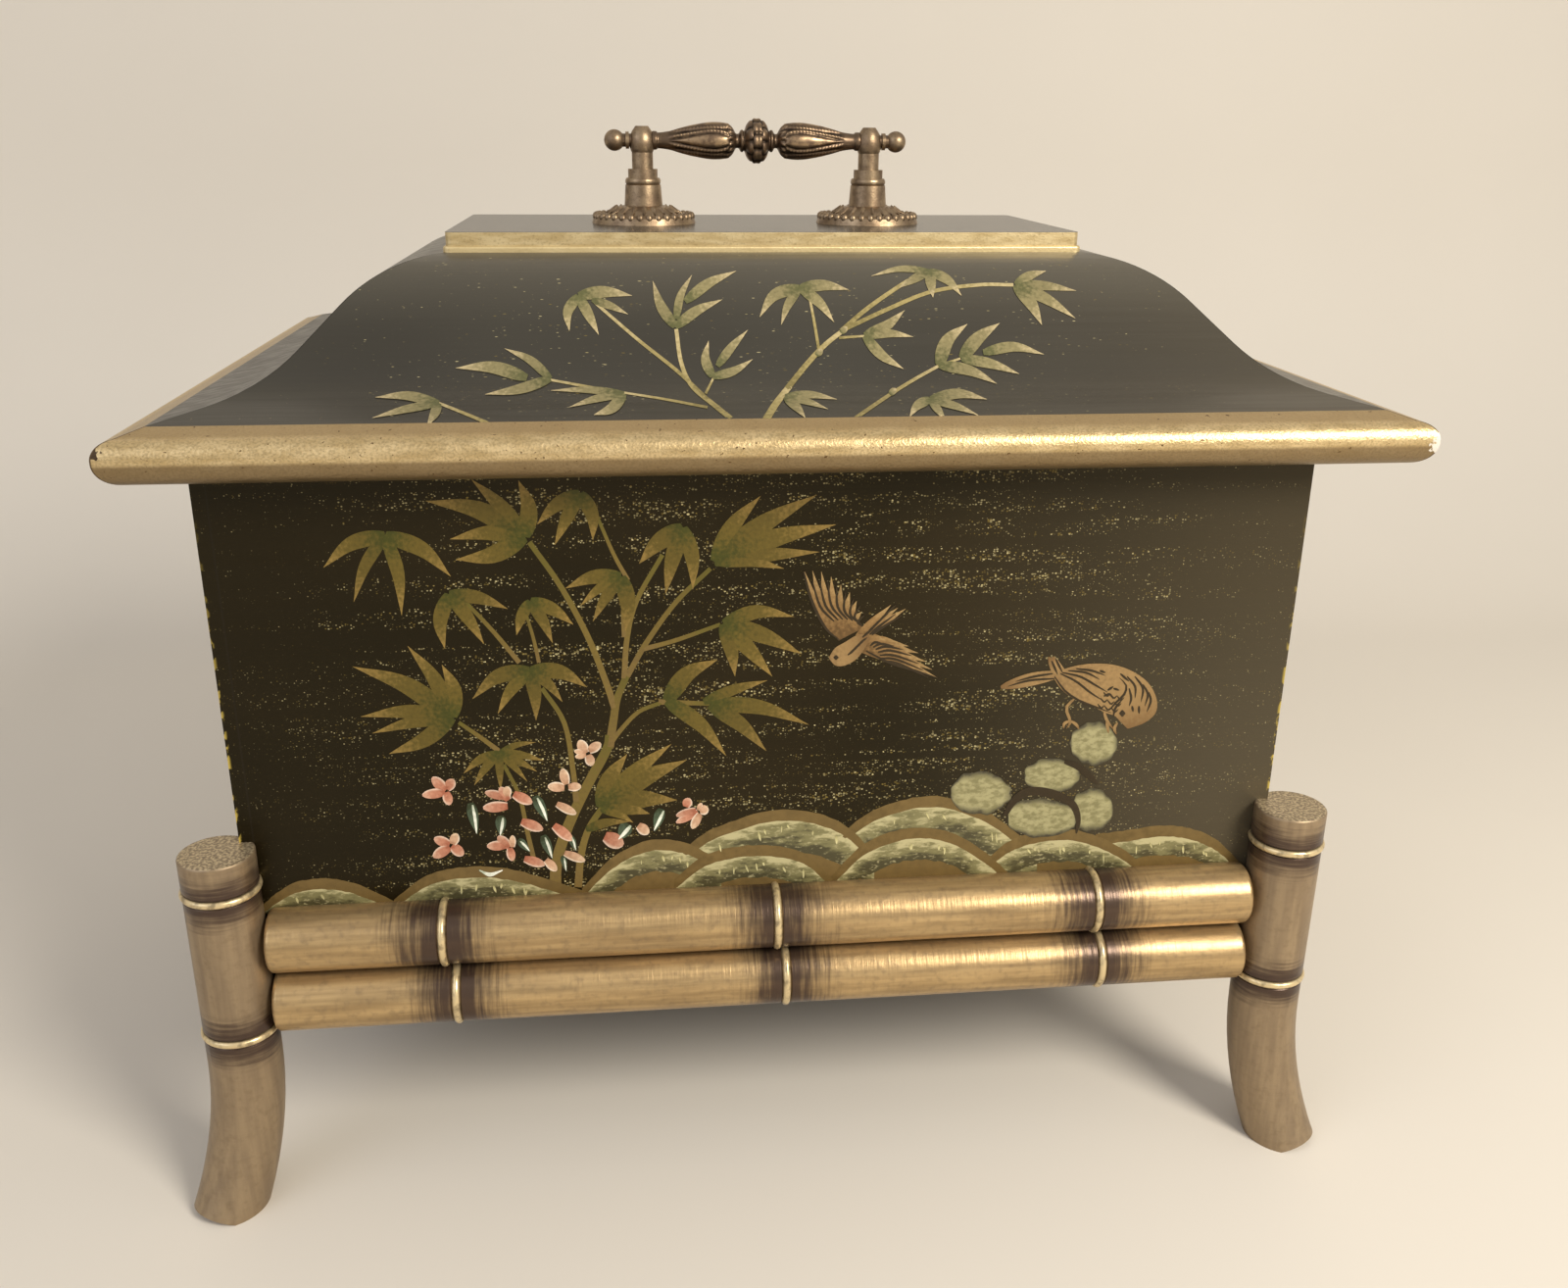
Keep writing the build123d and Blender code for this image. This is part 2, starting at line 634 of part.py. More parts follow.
def moved(shape, x):
    """The shape, or each of a list of shapes, moved along X."""
    return [Pos(x, 0, 0) * one for one in shape] if isinstance(shape, list) else Pos(x, 0, 0) * shape


def as_solids(shape):
    """One compound of separate solids, from a shape or a list of shapes."""
    shapes = shape if isinstance(shape, list) else [shape]
    return Compound([solid for one in shapes for solid in one.solids()])


def build():
    nodes = {}
    nodes.update(box_boards())
    for name, sx, sy in corners():
        nodes[f"leg_{name}"] = leg(sx, sy)
    nodes["leg_screws"] = leg_screws()
    nodes.update(rails())
    lid = {"lid_top_board": top_board(), **handle_pieces(), **handle_fixings()}
    for kind, pieces in (("roof", roof_panels()), ("rim", rim_pieces()), ("lip", lip_strips())):
        lid.update({f"lid_{kind}_{side}": piece for side, piece in pieces.items()})
    nodes.update({name: moved(piece, LID_SHIFT) for name, piece in lid.items()})
    return nodes


for node, shape in build().items():
    export_step(as_solids(shape), f"parts/{node}.step")
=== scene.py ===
# %% [markdown]
# # A painted keepsake chest on a gilt bamboo stand
# The chest is a black lacquered wooden box with a lift-off pagoda lid. It stands in a turned
# faux-bamboo stand and is painted with bamboo, blossom, birds and hills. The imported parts
# give every size. This lesson adds the finishes, the painting and the cast handle.

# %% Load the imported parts
import math
import random

import bpy
from mathutils import Matrix, Vector
from mathutils.bvhtree import BVHTree


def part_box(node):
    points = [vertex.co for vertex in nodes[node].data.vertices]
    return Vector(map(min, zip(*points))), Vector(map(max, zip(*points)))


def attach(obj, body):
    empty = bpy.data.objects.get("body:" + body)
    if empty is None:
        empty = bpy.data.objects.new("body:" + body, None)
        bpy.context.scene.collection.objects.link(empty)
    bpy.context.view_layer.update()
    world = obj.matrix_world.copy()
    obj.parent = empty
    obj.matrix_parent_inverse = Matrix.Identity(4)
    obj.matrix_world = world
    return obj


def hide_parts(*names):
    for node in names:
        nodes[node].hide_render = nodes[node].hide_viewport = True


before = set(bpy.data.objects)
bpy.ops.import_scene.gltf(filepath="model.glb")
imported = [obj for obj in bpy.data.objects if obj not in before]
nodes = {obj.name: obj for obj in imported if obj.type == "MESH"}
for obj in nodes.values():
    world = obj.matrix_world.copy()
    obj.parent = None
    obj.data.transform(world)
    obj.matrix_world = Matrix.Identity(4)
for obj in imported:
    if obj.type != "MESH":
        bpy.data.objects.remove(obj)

bpy.ops.object.select_all(action="DESELECT")
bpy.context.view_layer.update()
MM = 0.001
# the lid's middle lies this far right of the box's, in millimetres
LID_X = 4.2

# %% [markdown]
# ## The camera
# The picture is taken from a little above the rim, left of the middle, with a wide phone lens.
# A camera can be placed by eye, but eight corners of the chest give its place exactly. The
# numbers are that place, its three angles in radians and its focal length in picture points.
# The same numbers are used later to lay the painting on the boards.

# %% Place the camera
EYE = Vector((-39.89, -497.87, 324.48)) * MM
YAW, PITCH, ROLL = 0.1095, 0.3528, 0.0080
PICTURE_W, PICTURE_H = 1600, 1314
FOCAL_PX = 1435.38
SENSOR = 36.0

ahead = Vector((math.sin(YAW) * math.cos(PITCH), math.cos(YAW) * math.cos(PITCH),
                -math.sin(PITCH)))
level = Vector((math.cos(YAW), -math.sin(YAW), 0.0))
over = level.cross(ahead)
cam_right = math.cos(ROLL) * level + math.sin(ROLL) * over
cam_up = -math.sin(ROLL) * level + math.cos(ROLL) * over

camera = bpy.data.objects.new("camera", bpy.data.cameras.new("camera"))
bpy.context.collection.objects.link(camera)
camera.data.sensor_width = SENSOR
camera.data.lens = FOCAL_PX / PICTURE_W * SENSOR
camera.data.clip_start = 0.01
turn = Matrix((cam_right, cam_up, -ahead)).transposed().to_4x4()
camera.matrix_world = Matrix.Translation(EYE) @ turn
bpy.context.scene.camera = camera
print("camera lens", round(camera.data.lens, 2), "mm")


# %% [markdown]
# ## Small helpers
# Colours are picked as sRGB hex values, and shaders need them linear. One function turns them.
# Another adds a shader node with its settings and its links, so that a material reads as a
# short list of steps.

# %% Colour and node helpers
# what every node of a kind is set to here, unless a call says otherwise
USUAL = {"MapRange": {"interpolation_type": "SMOOTHSTEP"}, "Mix": {"data_type": "RGBA"}}


def tone(hexa):
    """sRGB hex to a linear colour"""
    parts = [int(hexa[i:i + 2], 16) / 255 for i in (1, 3, 5)]
    lin = [c / 12.92 if c <= 0.04045 else ((c + 0.055) / 1.055) ** 2.4 for c in parts]
    return (*lin, 1.0)


def feed(tree, node, sockets):
    """links each socket to a node's output, or sets its number or its hex colour"""
    for key, value in sockets.items():
        if isinstance(value, bpy.types.NodeSocket):
            tree.links.new(value, node.inputs[key])
        else:
            node.inputs[key].default_value = tone(value) if isinstance(value, str) else value


def add(tree, kind, *values, **settings):
    """adds a node and gives its first open output; the values fill its open inputs in
    order, or by name where they come in a dict"""
    made = tree.nodes.new("ShaderNode" + kind)
    for key, value in {**USUAL.get(kind, {}), **settings}.items():
        setattr(made, key, value)
    if values and isinstance(values[0], dict):
        feed(tree, made, values[0])
    else:
        open_inputs = [i for i, socket in enumerate(made.inputs) if socket.enabled]
        feed(tree, made, dict(zip(open_inputs, values)))
    return next(socket for socket in made.outputs if socket.enabled)


def start_material(name):
    """a new material, its node tree, its shader and the place on the object"""
    mat = bpy.data.materials.new(name)
    mat.use_nodes = True
    tree = mat.node_tree
    shader = tree.nodes["Principled BSDF"]
    return mat, tree, shader, add(tree, "TexCoord").node.outputs["Object"]


def stretched(tree, place, grain, detail=2.0, seed=0.0, rough=0.5):
    """noise whose grains measure grain = (x, y, z) in millimetres"""
    moved = add(tree, "Mapping", {"Vector": place, "Location": (seed, seed * 1.7, seed * 0.6),
                                  "Scale": tuple(1 / (g * MM) for g in grain)})
    return add(tree, "TexNoise", {"Vector": moved, "Scale": 1.0, "Detail": detail,
                                  "Roughness": rough})


def swing(tree, noise, reach):
    """noise as a swing to both sides of nought"""
    middle = add(tree, "Math", noise, 0.5, operation="SUBTRACT")
    return add(tree, "Math", middle, reach, operation="MULTIPLY")


def coat(material, *starts):
    """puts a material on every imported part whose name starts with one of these"""
    for name, node in nodes.items():
        if name.startswith(starts):
            node.material_slots[0].material = material


print("helpers ready")

# %% [markdown]
# ## The room
# The chest stands on a sheet of pale paper that runs up the wall behind it. A photographer's
# sweep does the same: the floor bends up with no line between floor and wall. It is one plane
# whose back edge is extruded up and bevelled.

# %% Floor and wall in one sweep
SWEEP_MIDDLE = (0.0, -0.55, 0.0)
SWEEP_SIZE = (5.0, 2.4, 1.0)
WALL_HEIGHT, BEND = 1.8, 0.30
bpy.ops.mesh.primitive_plane_add(size=1.0, location=SWEEP_MIDDLE)
sweep = bpy.context.object
sweep.name = "sweep"
bpy.ops.object.mode_set(mode="EDIT")
bpy.ops.transform.resize(value=SWEEP_SIZE, center_override=SWEEP_MIDDLE)
bpy.ops.mesh.select_all(action="DESELECT")
bpy.ops.object.mode_set(mode="OBJECT")
for edge in sweep.data.edges:
    edge.select = all(sweep.data.vertices[v].co.y > 0 for v in edge.vertices)
for vert in sweep.data.vertices:
    vert.select = vert.co.y > 0
bpy.ops.object.mode_set(mode="EDIT")
bpy.ops.mesh.select_mode(type="EDGE")
bpy.ops.mesh.extrude_region_move(TRANSFORM_OT_translate={"value": (0.0, 0.0, WALL_HEIGHT)})
bpy.ops.object.mode_set(mode="OBJECT")
for edge in sweep.data.edges:
    edge.select = all(abs(sweep.data.vertices[v].co.z) < 1e-4
                      and sweep.data.vertices[v].co.y > 0 for v in edge.vertices)
bpy.ops.object.mode_set(mode="EDIT")
bpy.ops.mesh.bevel(offset=BEND, segments=16, affect="EDGES")
bpy.ops.object.mode_set(mode="OBJECT")
bpy.ops.object.shade_smooth()
bpy.ops.object.transform_apply(location=True, rotation=True, scale=True)

paper, tree, shader, place = start_material("pale painted board")
cloud = stretched(tree, place, (300, 300, 300), 3.0, 2.0)
feed(tree, shader,
     {"Base Color": add(tree, "Mix", cloud, "#d8d1c5", "#dfd8cc"), "Roughness": 0.9,
      "Specular IOR Level": 0.2})
sweep.data.materials.append(paper)
print("sweep has", len(sweep.data.polygons), "faces")

# %% [markdown]
# ## The light
# Soft light from a window at the front right makes the long highlight along the rim and the
# rails. A wide weak lamp at the left fills the shadows. The picture keeps the standard view
# transform, so a colour renders about as it is written.


# %% Lamps and sky
def soft_lamp(name, at, towards, size, power, colour):
    lamp = bpy.data.objects.new(name, bpy.data.lights.new(name, "AREA"))
    bpy.context.collection.objects.link(lamp)
    lamp.data.shape = "DISK"
    lamp.data.size = size
    lamp.data.energy = power
    lamp.data.color = tone(colour)[:3]
    lamp.location = at
    aim = Vector(towards) - Vector(at)
    lamp.rotation_euler = aim.to_track_quat("-Z", "Y").to_euler()


soft_lamp("window", at=(0.62, -0.85, 0.80), towards=(0.05, 0.0, 0.16), size=0.45,
          power=13.5, colour="#fff8ec")
soft_lamp("fill", at=(-1.1, -0.9, 0.9), towards=(0.0, 0.0, 0.15), size=1.2, power=4.6,
          colour="#e4ebff")
world = bpy.data.worlds.new("room")
bpy.context.scene.world = world
world.use_nodes = True
feed(world.node_tree, world.node_tree.nodes["Background"],
     {"Color": "#fbf8f5", "Strength": 0.61})
bpy.context.scene.view_settings.view_transform = "Standard"
print("two lamps and a sky")

# %% [markdown]
# ## Black lacquer
# The boards are pine under thin oil lacquer, brushed on in long strokes. It is nearly black
# but brown where it is thin, satin rather than glassy, and old: a nearly dry brush has dragged
# fine gold specks along the boards, and yellow undercoat shows where corners are worn. Each
# speck lies in its own cell, about 0.8 mm wide, and the cell's random colour picks its size
# and tone. A slow noise, 75 mm long and 3 mm high, gathers the specks in rows. On the roof the
# cells are 2.6 mm long, so the specks there are short dashes.


# %% Lacquer material
# the diagonal joints of the lid run from this far beside its middle, in millimetres
HIP_START = 54.0
# half the width and half the depth of the box, in millimetres
BOX_HALF = {"X": 161.0, "Y": 107.0}


def mitre_line(tree, place, half):
    """0 on the diagonal joint lines of the lid and 1 beside them; half in millimetres"""
    axes = add(tree, "SeparateXYZ", place).node.outputs
    run_x = add(tree, "Math", add(tree, "Math", axes["X"], LID_X * MM, operation="SUBTRACT"),
                operation="ABSOLUTE")
    run_y = add(tree, "Math", axes["Y"], operation="ABSOLUTE")
    gap = add(tree, "Math", add(tree, "Math", run_x, run_y, operation="SUBTRACT"),
              HIP_START * MM, operation="SUBTRACT")
    return add(tree, "MapRange", add(tree, "Math", gap, operation="ABSOLUTE"), half * MM,
               half * 2.2 * MM)


def lacquer(name, base, thin, speck, rows, amount, speck_reach, rough, tint, shine):
    """lacquer with specks; speck, rows and speck_reach are in millimetres"""
    mat, tree, shader, place = start_material(name)
    axes = add(tree, "SeparateXYZ", place).node.outputs
    dots = add(tree, "Mapping", {"Vector": place, "Scale": tuple(1 / (v * MM) for v in speck)})
    cell = add(tree, "TexVoronoi", {"Vector": dots, "Scale": 1.0}).node.outputs
    row = stretched(tree, place, rows, 2.5, 5.3)
    cluster = stretched(tree, place, (11, 11, 3.0), 3.0, 1.3)
    area = stretched(tree, place, (110, 60, 60), 1.0, 4.4)
    # specks thin out towards the ends of a board
    reach = add(tree, "MapRange", add(tree, "Math", axes["X"], operation="ABSOLUTE"),
                speck_reach * 0.40 * MM, speck_reach * MM, 1.0, 0.40)
    level = add(tree, "Math", add(tree, "MapRange", row, 0.32, 0.60),
                add(tree, "MapRange", cluster, 0.28, 0.66, 0.25, 1.0), operation="MULTIPLY")
    level = add(tree, "Math", add(tree, "Math", level, 0.10, operation="ADD"), reach,
                operation="MULTIPLY")
    # each cell has a random colour, which picks how large its speck is
    pick = add(tree, "SeparateColor", cell["Color"]).node.outputs
    size = add(tree, "Math", add(tree, "Math", level, pick[0], operation="MULTIPLY"), amount,
               operation="MULTIPLY")
    inside = add(tree, "Math", size, cell["Distance"], operation="SUBTRACT")
    dust = add(tree, "Math", add(tree, "MapRange", inside, -0.06, 0.06),
               add(tree, "MapRange", pick[1], 0.0, 1.0, 0.35, 0.95), operation="MULTIPLY")
    gold = add(tree, "Mix", add(tree, "MapRange", pick[2], 0.2, 0.9), "#75632f", "#c9bc8b")
    ground = add(tree, "Mix", add(tree, "MapRange", area, 0.35, 0.7), base, thin)
    # painted glare: a thin grey sheen on the right half, stronger lower down, stands in for the
    # bright floor reflected in the lacquer
    painted_glare_and_zinc_bloom = add(tree, "Math", add(tree, "MapRange", axes["X"], 20 * MM, 175 * MM, 0.0, 0.55),
                add(tree, "MapRange", axes["Z"], 220 * MM, 110 * MM, 0.85, 1.45),
                operation="MULTIPLY")
    ground = add(tree, "Mix", painted_glare_and_zinc_bloom, ground, "#51493a")
    # painted sheen: the upper roof, which faces up, is painted paler than the rest
    painted_roof_sheen = add(tree, "MapRange", axes["Z"], 268 * MM, 288 * MM, 0.0, 0.4)
    ground = add(tree, "Mix", painted_roof_sheen, ground, "#686254")
    colour = add(tree, "Mix", dust, ground, gold)
    # worn corners of the box, where the yellow undercoat shows
    worn = add(tree, "MapRange", stretched(tree, place, (2.0, 2.0, 4.0), 3.0, 6.1), 0.50, 0.57)
    for axis, half in BOX_HALF.items():
        out = add(tree, "Math", axes[axis], operation="ABSOLUTE")
        edge = add(tree, "MapRange", out, (half - 1.1) * MM, (half - 0.1) * MM)
        worn = add(tree, "Math", worn, edge, operation="MULTIPLY")
    worn = add(tree, "Math", worn, add(tree, "MapRange", axes["Z"], 236 * MM, 130 * MM),
               operation="MULTIPLY")
    colour = add(tree, "Mix", worn, colour, "#b7a04a")
    line = mitre_line(tree, place, 0.16)
    colour = add(tree, "Mix", line, "#15110b", colour)
    brush = stretched(tree, place, (50, 3.0, 1.1), 3.0, 7.7)
    gloss = add(tree, "MapRange", brush, 0.2, 0.8, rough - 0.05, rough + 0.09)
    feed(tree, shader, {"Base Color": colour, "Roughness": gloss, "IOR": 1.42,
                        "Specular IOR Level": shine, "Specular Tint": tint})
    feed(tree, shader,
         {"Normal": add(tree, "Bump",
                        {"Height": brush, "Distance": 0.10 * MM, "Strength": 0.5})})
    return mat


coat(lacquer("brushed black lacquer", "#0e0901", "#1b1407", speck=(0.80, 0.80, 0.60),
             rows=(75, 40, 3.0), amount=0.60, speck_reach=172, rough=0.38, tint="#fff0c8",
             shine=0.37), "box_")
# the roof is the same black lacquer, but its base is painted grey: a painted sheen for the
# reflection it catches at glancing angles
coat(lacquer("lid lacquer with painted sheen", "#322f28", "#3c3931", speck=(2.6, 0.7, 0.5),
             rows=(45, 3.0, 2.2), amount=0.23, speck_reach=170, rough=0.32, tint="#fffaf0",
             shine=0.5), "lid_roof_")
print("lacquer on the box and the roof")

# %% [markdown]
# ## Gilt rim
# The rim is wood in gold paint that was rubbed with brown. It is not leaf: metal powder in
# varnish gives a broad soft highlight, so the shader is part metal and fairly rough. Brush
# marks run along it, pits and small knocks are brown, and the front right corner has lost a
# chip down to the pale ground.


# %% Gilt material
# a knock at the front left and a chip at the front right corner, in millimetres
KNOCK = (-177.6, -128.0, 245.0)
CHIP = (187.2, -128.6, 241.6)


def near(tree, place, spot, radius, ragged):
    """1 inside a ragged ball round a spot, in millimetres"""
    far = add(tree, "VectorMath", place, tuple(v * MM for v in spot), operation="DISTANCE")
    wobble = stretched(tree, place, (1.6, 1.6, 1.6), 3.0, 2.2)
    return add(tree, "MapRange",
               add(tree, "Math", far, swing(tree, wobble, ragged * MM), operation="ADD"),
               radius * MM, radius * 0.86 * MM)


gilt, tree, shader, place = start_material("rubbed gold paint")
axes = add(tree, "SeparateXYZ", place).node.outputs
mottle = stretched(tree, place, (9, 9, 2.5), 5.0, 1.1, 0.6)
grit = stretched(tree, place, (0.7, 0.7, 0.6), 2.0, 4.2)
pits = stretched(tree, place, (1.5, 1.5, 1.0), 2.0, 9.4)
colour = add(tree, "Mix", add(tree, "MapRange", mottle, 0.3, 0.7), "#c5aa78", "#dac191")
colour = add(tree, "Mix", add(tree, "MapRange", grit, 0.38, 0.70, 0.0, 0.55), colour, "#94805a")
# the lower bevel is rubbed brown and also painted darker as shade where it faces down; the flat
# band is duller than the nose, partly in its own tone and partly as painted shade, which leaves
# the nose as a painted highlight
low_band_rub_and_shade = add(tree, "MapRange", axes["Z"], 242.0 * MM, 240.6 * MM)
colour = add(tree, "Mix", add(tree, "Math", low_band_rub_and_shade, 0.8, operation="MULTIPLY"), colour,
             "#725f43")
flat_band_dull_and_shade = add(tree, "MapRange", axes["Z"], 247.1 * MM, 247.9 * MM)
colour = add(tree, "Mix", add(tree, "Math", flat_band_dull_and_shade, 0.75, operation="MULTIPLY"), colour,
             "#a58c63")
colour = add(tree, "Mix", add(tree, "MapRange", pits, 0.70, 0.735), colour, "#5c4528")
colour = add(tree, "Mix", near(tree, place, KNOCK, 2.2, 5), colour, "#4a3a28")
colour = add(tree, "Mix", mitre_line(tree, place, 0.22), "#57432a", colour)
chip = near(tree, place, CHIP, 3.4, 7)
colour = add(tree, "Mix", chip, colour, "#d6cfc2")
feed(tree, shader,
     {"Base Color": colour, "Metallic": add(tree, "MapRange", chip, 0.0, 1.0, 0.72, 0.0),
      "Roughness": add(tree, "MapRange", mottle, 0.2, 0.8, 0.31, 0.42)})
brush = add(tree, "Math", add(tree, "Math", pits, 0.6, operation="MULTIPLY"), grit,
            operation="ADD")
feed(tree, shader,
     {"Normal": add(tree, "Bump", {"Height": brush, "Distance": 0.22 * MM, "Strength": 0.55})})
coat(gilt, "lid_rim_")
print("gold on the rim")

# %% [markdown]
# ## Bamboo stand
# The stand is turned wood, painted bronze gold. Each raised ring is bright, and a purple-brown
# wash is brushed round the pole on both sides of it and fades away. The wash is made from the
# distance to the nearest ring along the pole, broken by streaks that run round the pole. A
# texture painted on the mesh would do too, but the distance is exact and needs no unwrap.


# %% Bronze paint on the poles
def bamboo(name, axis, rings, wash, ring_half, grain, rough, low, high):
    """paint with its rings along an axis; lengths are in millimetres"""
    mat, tree, shader, place = start_material(name)
    axes = add(tree, "SeparateXYZ", place).node.outputs
    away = None
    for ring in rings:
        step = add(tree, "Math", add(tree, "Math", axes[axis], ring * MM, operation="SUBTRACT"),
                   operation="ABSOLUTE")
        away = step if away is None else add(tree, "Math", away, step, operation="MINIMUM")
    along = stretched(tree, place, grain, 3.0, 1.9)
    patch = stretched(tree, place, (9, 9, 9), 3.0, 3.3)
    round_streak = stretched(tree, place, tuple(
        0.9 if a == axis else 16 for a in "XYZ"), 3.0, 6.5)
    mottle = stretched(tree, place, (2.4, 2.4, 2.4), 3.0, 8.5)
    gold = add(tree, "Mix", add(tree, "MapRange", along, 0.2, 0.8), low, high)
    gold = add(tree, "Mix", add(tree, "MapRange", mottle, 0.45, 0.8, 0.0, 0.45), gold,
               "#7c6950")
    # streaks let the gold through more, the farther the wash is from its ring
    loose = add(tree, "Math", away, swing(tree, round_streak, wash * 1.3 * MM), operation="ADD")
    loose = add(tree, "Math", loose, swing(tree, patch, wash * 0.7 * MM), operation="ADD")
    cover = add(tree, "MapRange", loose, wash * 0.22 * MM, wash * 1.28 * MM, 0.95, 0.0)
    colour = add(tree, "Mix", cover, gold, "#46362e")
    on_ring = add(tree, "MapRange", away, ring_half * MM, ring_half * 1.5 * MM, 1.0, 0.0)
    rubbed = add(tree, "Math", on_ring, add(tree, "MapRange", mottle, 0.30, 0.55, 0.45, 1.0),
                 operation="MULTIPLY")
    colour = add(tree, "Mix", rubbed, colour, "#dcc698")
    # the cut pole ends were dabbed with paint and stayed grainy
    sawn = stretched(tree, place, (0.9, 0.9, 0.9), 2.0, 5.1)
    cut = add(tree, "Mix", add(tree, "MapRange", sawn, 0.40, 0.62), "#8b7a62", "#c9b692")
    colour = add(tree, "Mix", add(tree, "MapRange", axes["Z"], 121.0 * MM, 121.35 * MM), colour,
                 cut)
    feed(tree, shader,
         {"Base Color": colour, "Metallic": 0.62,
          "Roughness": add(tree, "MapRange", cover, 0.0, 1.0, rough, 0.30)})
    relief = add(tree, "Math", add(tree, "Math", mottle, 0.8, operation="MULTIPLY"),
                 round_streak, operation="ADD")
    feed(tree, shader,
         {"Normal": add(tree, "Bump",
                        {"Height": relief, "Distance": 0.20 * MM, "Strength": 0.45})})
    return mat


coat(bamboo("bronze paint on legs", "Z", (109.4, 61.0), wash=8.0, ring_half=0.9,
            grain=(3, 3, 30), rough=0.44, low="#88755d", high="#a08b6d"), "leg_")
# the rails carry the same bronze paint as the legs in lighter tones: the difference is a painted
# highlight along the rails
for height, wash_reach, long_rings, end_rings in (
    ("upper", 15, (-102.0, 0.6, 103.2), (-51.9, 50.7)),
    ("lower", 14, (-99.2, 3.4, 106.0), (-54.7, 47.9)),
):
    for kind, axis, rings, grain, ends in (
        ("rails", "X", long_rings, (26, 2, 2), ("front", "back")),
        ("end rails", "Y", end_rings, (2, 26, 2), ("left", "right")),
    ):
        coat(bamboo(f"bronze paint on {height} {kind}", axis, rings, wash_reach, 1.0, grain,
                    rough=0.36, low="#9a8059", high="#c2a474"),
             *(f"rail_{height}_{end}" for end in ends))
print("bronze paint on the stand")

# %% [markdown]
# ## Top board, inside wood and metal
# The small board on top is black above and gold round its edge, with a painted highlight along the
# bead below.
# The lips under the lid are stained softwood. The handle is cast brass, brown with age and
# rubbed bright on its high places. Screws and washers are plain zinc-plated steel.

# %% Top board material
top_paint, tree, shader, place = start_material("black top with gold edge")
axes = add(tree, "SeparateXYZ", place).node.outputs
mottle = stretched(tree, place, (9, 9, 2), 3.0, 2.4)
speck = stretched(tree, place, (0.8, 0.8, 0.6), 2.0, 5.4)
gold = add(tree, "Mix", add(tree, "MapRange", mottle, 0.3, 0.7), "#bda676", "#d6c294")
gold = add(tree, "Mix", add(tree, "MapRange", speck, 0.5, 0.8, 0.0, 0.5), gold, "#85704a")
# a painted highlight along the bead at the foot of the edge
painted_bead_highlight = add(tree, "MapRange", axes["Z"], 289.6 * MM, 289.2 * MM)
gold = add(tree, "Mix", add(tree, "Math", painted_bead_highlight, 0.6, operation="MULTIPLY"), gold, "#e4ce9a")
black = add(tree, "Mix", add(tree, "MapRange", mottle, 0.3, 0.7), "#2b2720", "#37322a")
top_face = add(tree, "MapRange", axes["Z"], 293.3 * MM, 293.4 * MM)
feed(tree, shader,
     {"Base Color": add(tree, "Mix", top_face, gold, black),
      "Metallic": add(tree, "MapRange", top_face, 0.0, 1.0, 0.7, 0.0),
      "Roughness": add(tree, "MapRange", top_face, 0.0, 1.0, 0.42, 0.24)})
grain = add(tree, "Math", speck, add(tree, "MapRange", top_face, 0.0, 1.0, 1.0, 0.1),
            operation="MULTIPLY")
feed(tree, shader,
     {"Normal": add(tree, "Bump", {"Height": grain, "Distance": 0.12 * MM, "Strength": 0.5})})
coat(top_paint, "lid_top_board")

# %% Wood, brass and steel
wood, tree, shader, place = start_material("stained softwood")
fibre = stretched(tree, place, (40, 40, 0.9), 4.0, 3.6)
feed(tree, shader,
     {"Base Color": add(tree, "Mix", fibre, "#3a2716", "#5d4128"), "Roughness": 0.7})
feed(tree, shader,
     {"Normal": add(tree, "Bump", {"Height": fibre, "Distance": 0.15 * MM, "Strength": 0.5})})

brass, tree, shader, place = start_material("aged cast brass")
patina = stretched(tree, place, (3.5, 3.5, 3.5), 4.0, 7.1)
grit = stretched(tree, place, (0.6, 0.6, 0.6), 2.0, 1.7)
colour = add(tree, "Mix", add(tree, "MapRange", patina, 0.3, 0.7), "#7c6852", "#a38d70")
colour = add(tree, "Mix", add(tree, "MapRange", grit, 0.5, 0.8, 0.0, 0.5), colour, "#4a3c2f")
feed(tree, shader,
     {"Base Color": colour, "Metallic": 0.9,
      "Roughness": add(tree, "MapRange", patina, 0.2, 0.8, 0.48, 0.34)})
feed(tree, shader,
     {"Normal": add(tree, "Bump", {"Height": grit, "Distance": 0.10 * MM, "Strength": 0.5})})

steel, tree, shader, place = start_material("zinc plated steel")
painted_glare_and_zinc_bloom = stretched(tree, place, (1.5, 1.5, 1.5), 3.0, 2.9)
feed(tree, shader,
     {"Base Color": add(tree, "Mix", painted_glare_and_zinc_bloom, "#8f8d88", "#b4b2ac"), "Metallic": 0.95,
      "Roughness": 0.38})

# the later coat covers the earlier one, so the screws come last
coat(wood, "lid_lip_")
coat(brass, "handle_")
coat(steel, "leg_screws", "handle_screws", "handle_washers")
print("wood, brass and steel are on")

# %% [markdown]
# ## Laying paint on the boards
# The decoration is brushed in raised oil colour, one stroke at a time. An image texture or a
# procedural pattern can't hold such a picture, so every stroke is a thin ribbon of mesh. Each
# is drawn in picture coordinates, then dropped along the camera's line of sight on to the
# board that carries it, and lifted by up to a quarter of a millimetre. Strokes follow lists of
# points, so they are made from rows of vertices rather than from a primitive.

# %% Dropping a picture point on to a board
boards = {}
# each later stroke of a piece lies this much higher, so that no two share a surface, in mm
STROKE_RISE = 0.0010
# no stroke is thinner than this on either side of its line, in picture points
LEAST_HALF = 0.12


def board(name):
    """a board's faces, ready to be hit by a line of sight"""
    if name not in boards:
        mesh = nodes[name].data
        boards[name] = BVHTree.FromPolygons([v.co for v in mesh.vertices],
                                            [p.vertices for p in mesh.polygons])
    return boards[name]


def drop(point, name, lift):
    """a picture point on the board's face, lifted off it, in metres"""
    across = (point[0] - PICTURE_W / 2) / FOCAL_PX
    down = (point[1] - PICTURE_H / 2) / FOCAL_PX
    sight = (ahead + across * cam_right - down * cam_up).normalized()
    hit, normal, _, _ = board(name).ray_cast(EYE, sight)
    if hit is None:
        return None
    if normal.dot(sight) > 0:
        normal = -normal
    return hit + normal * lift


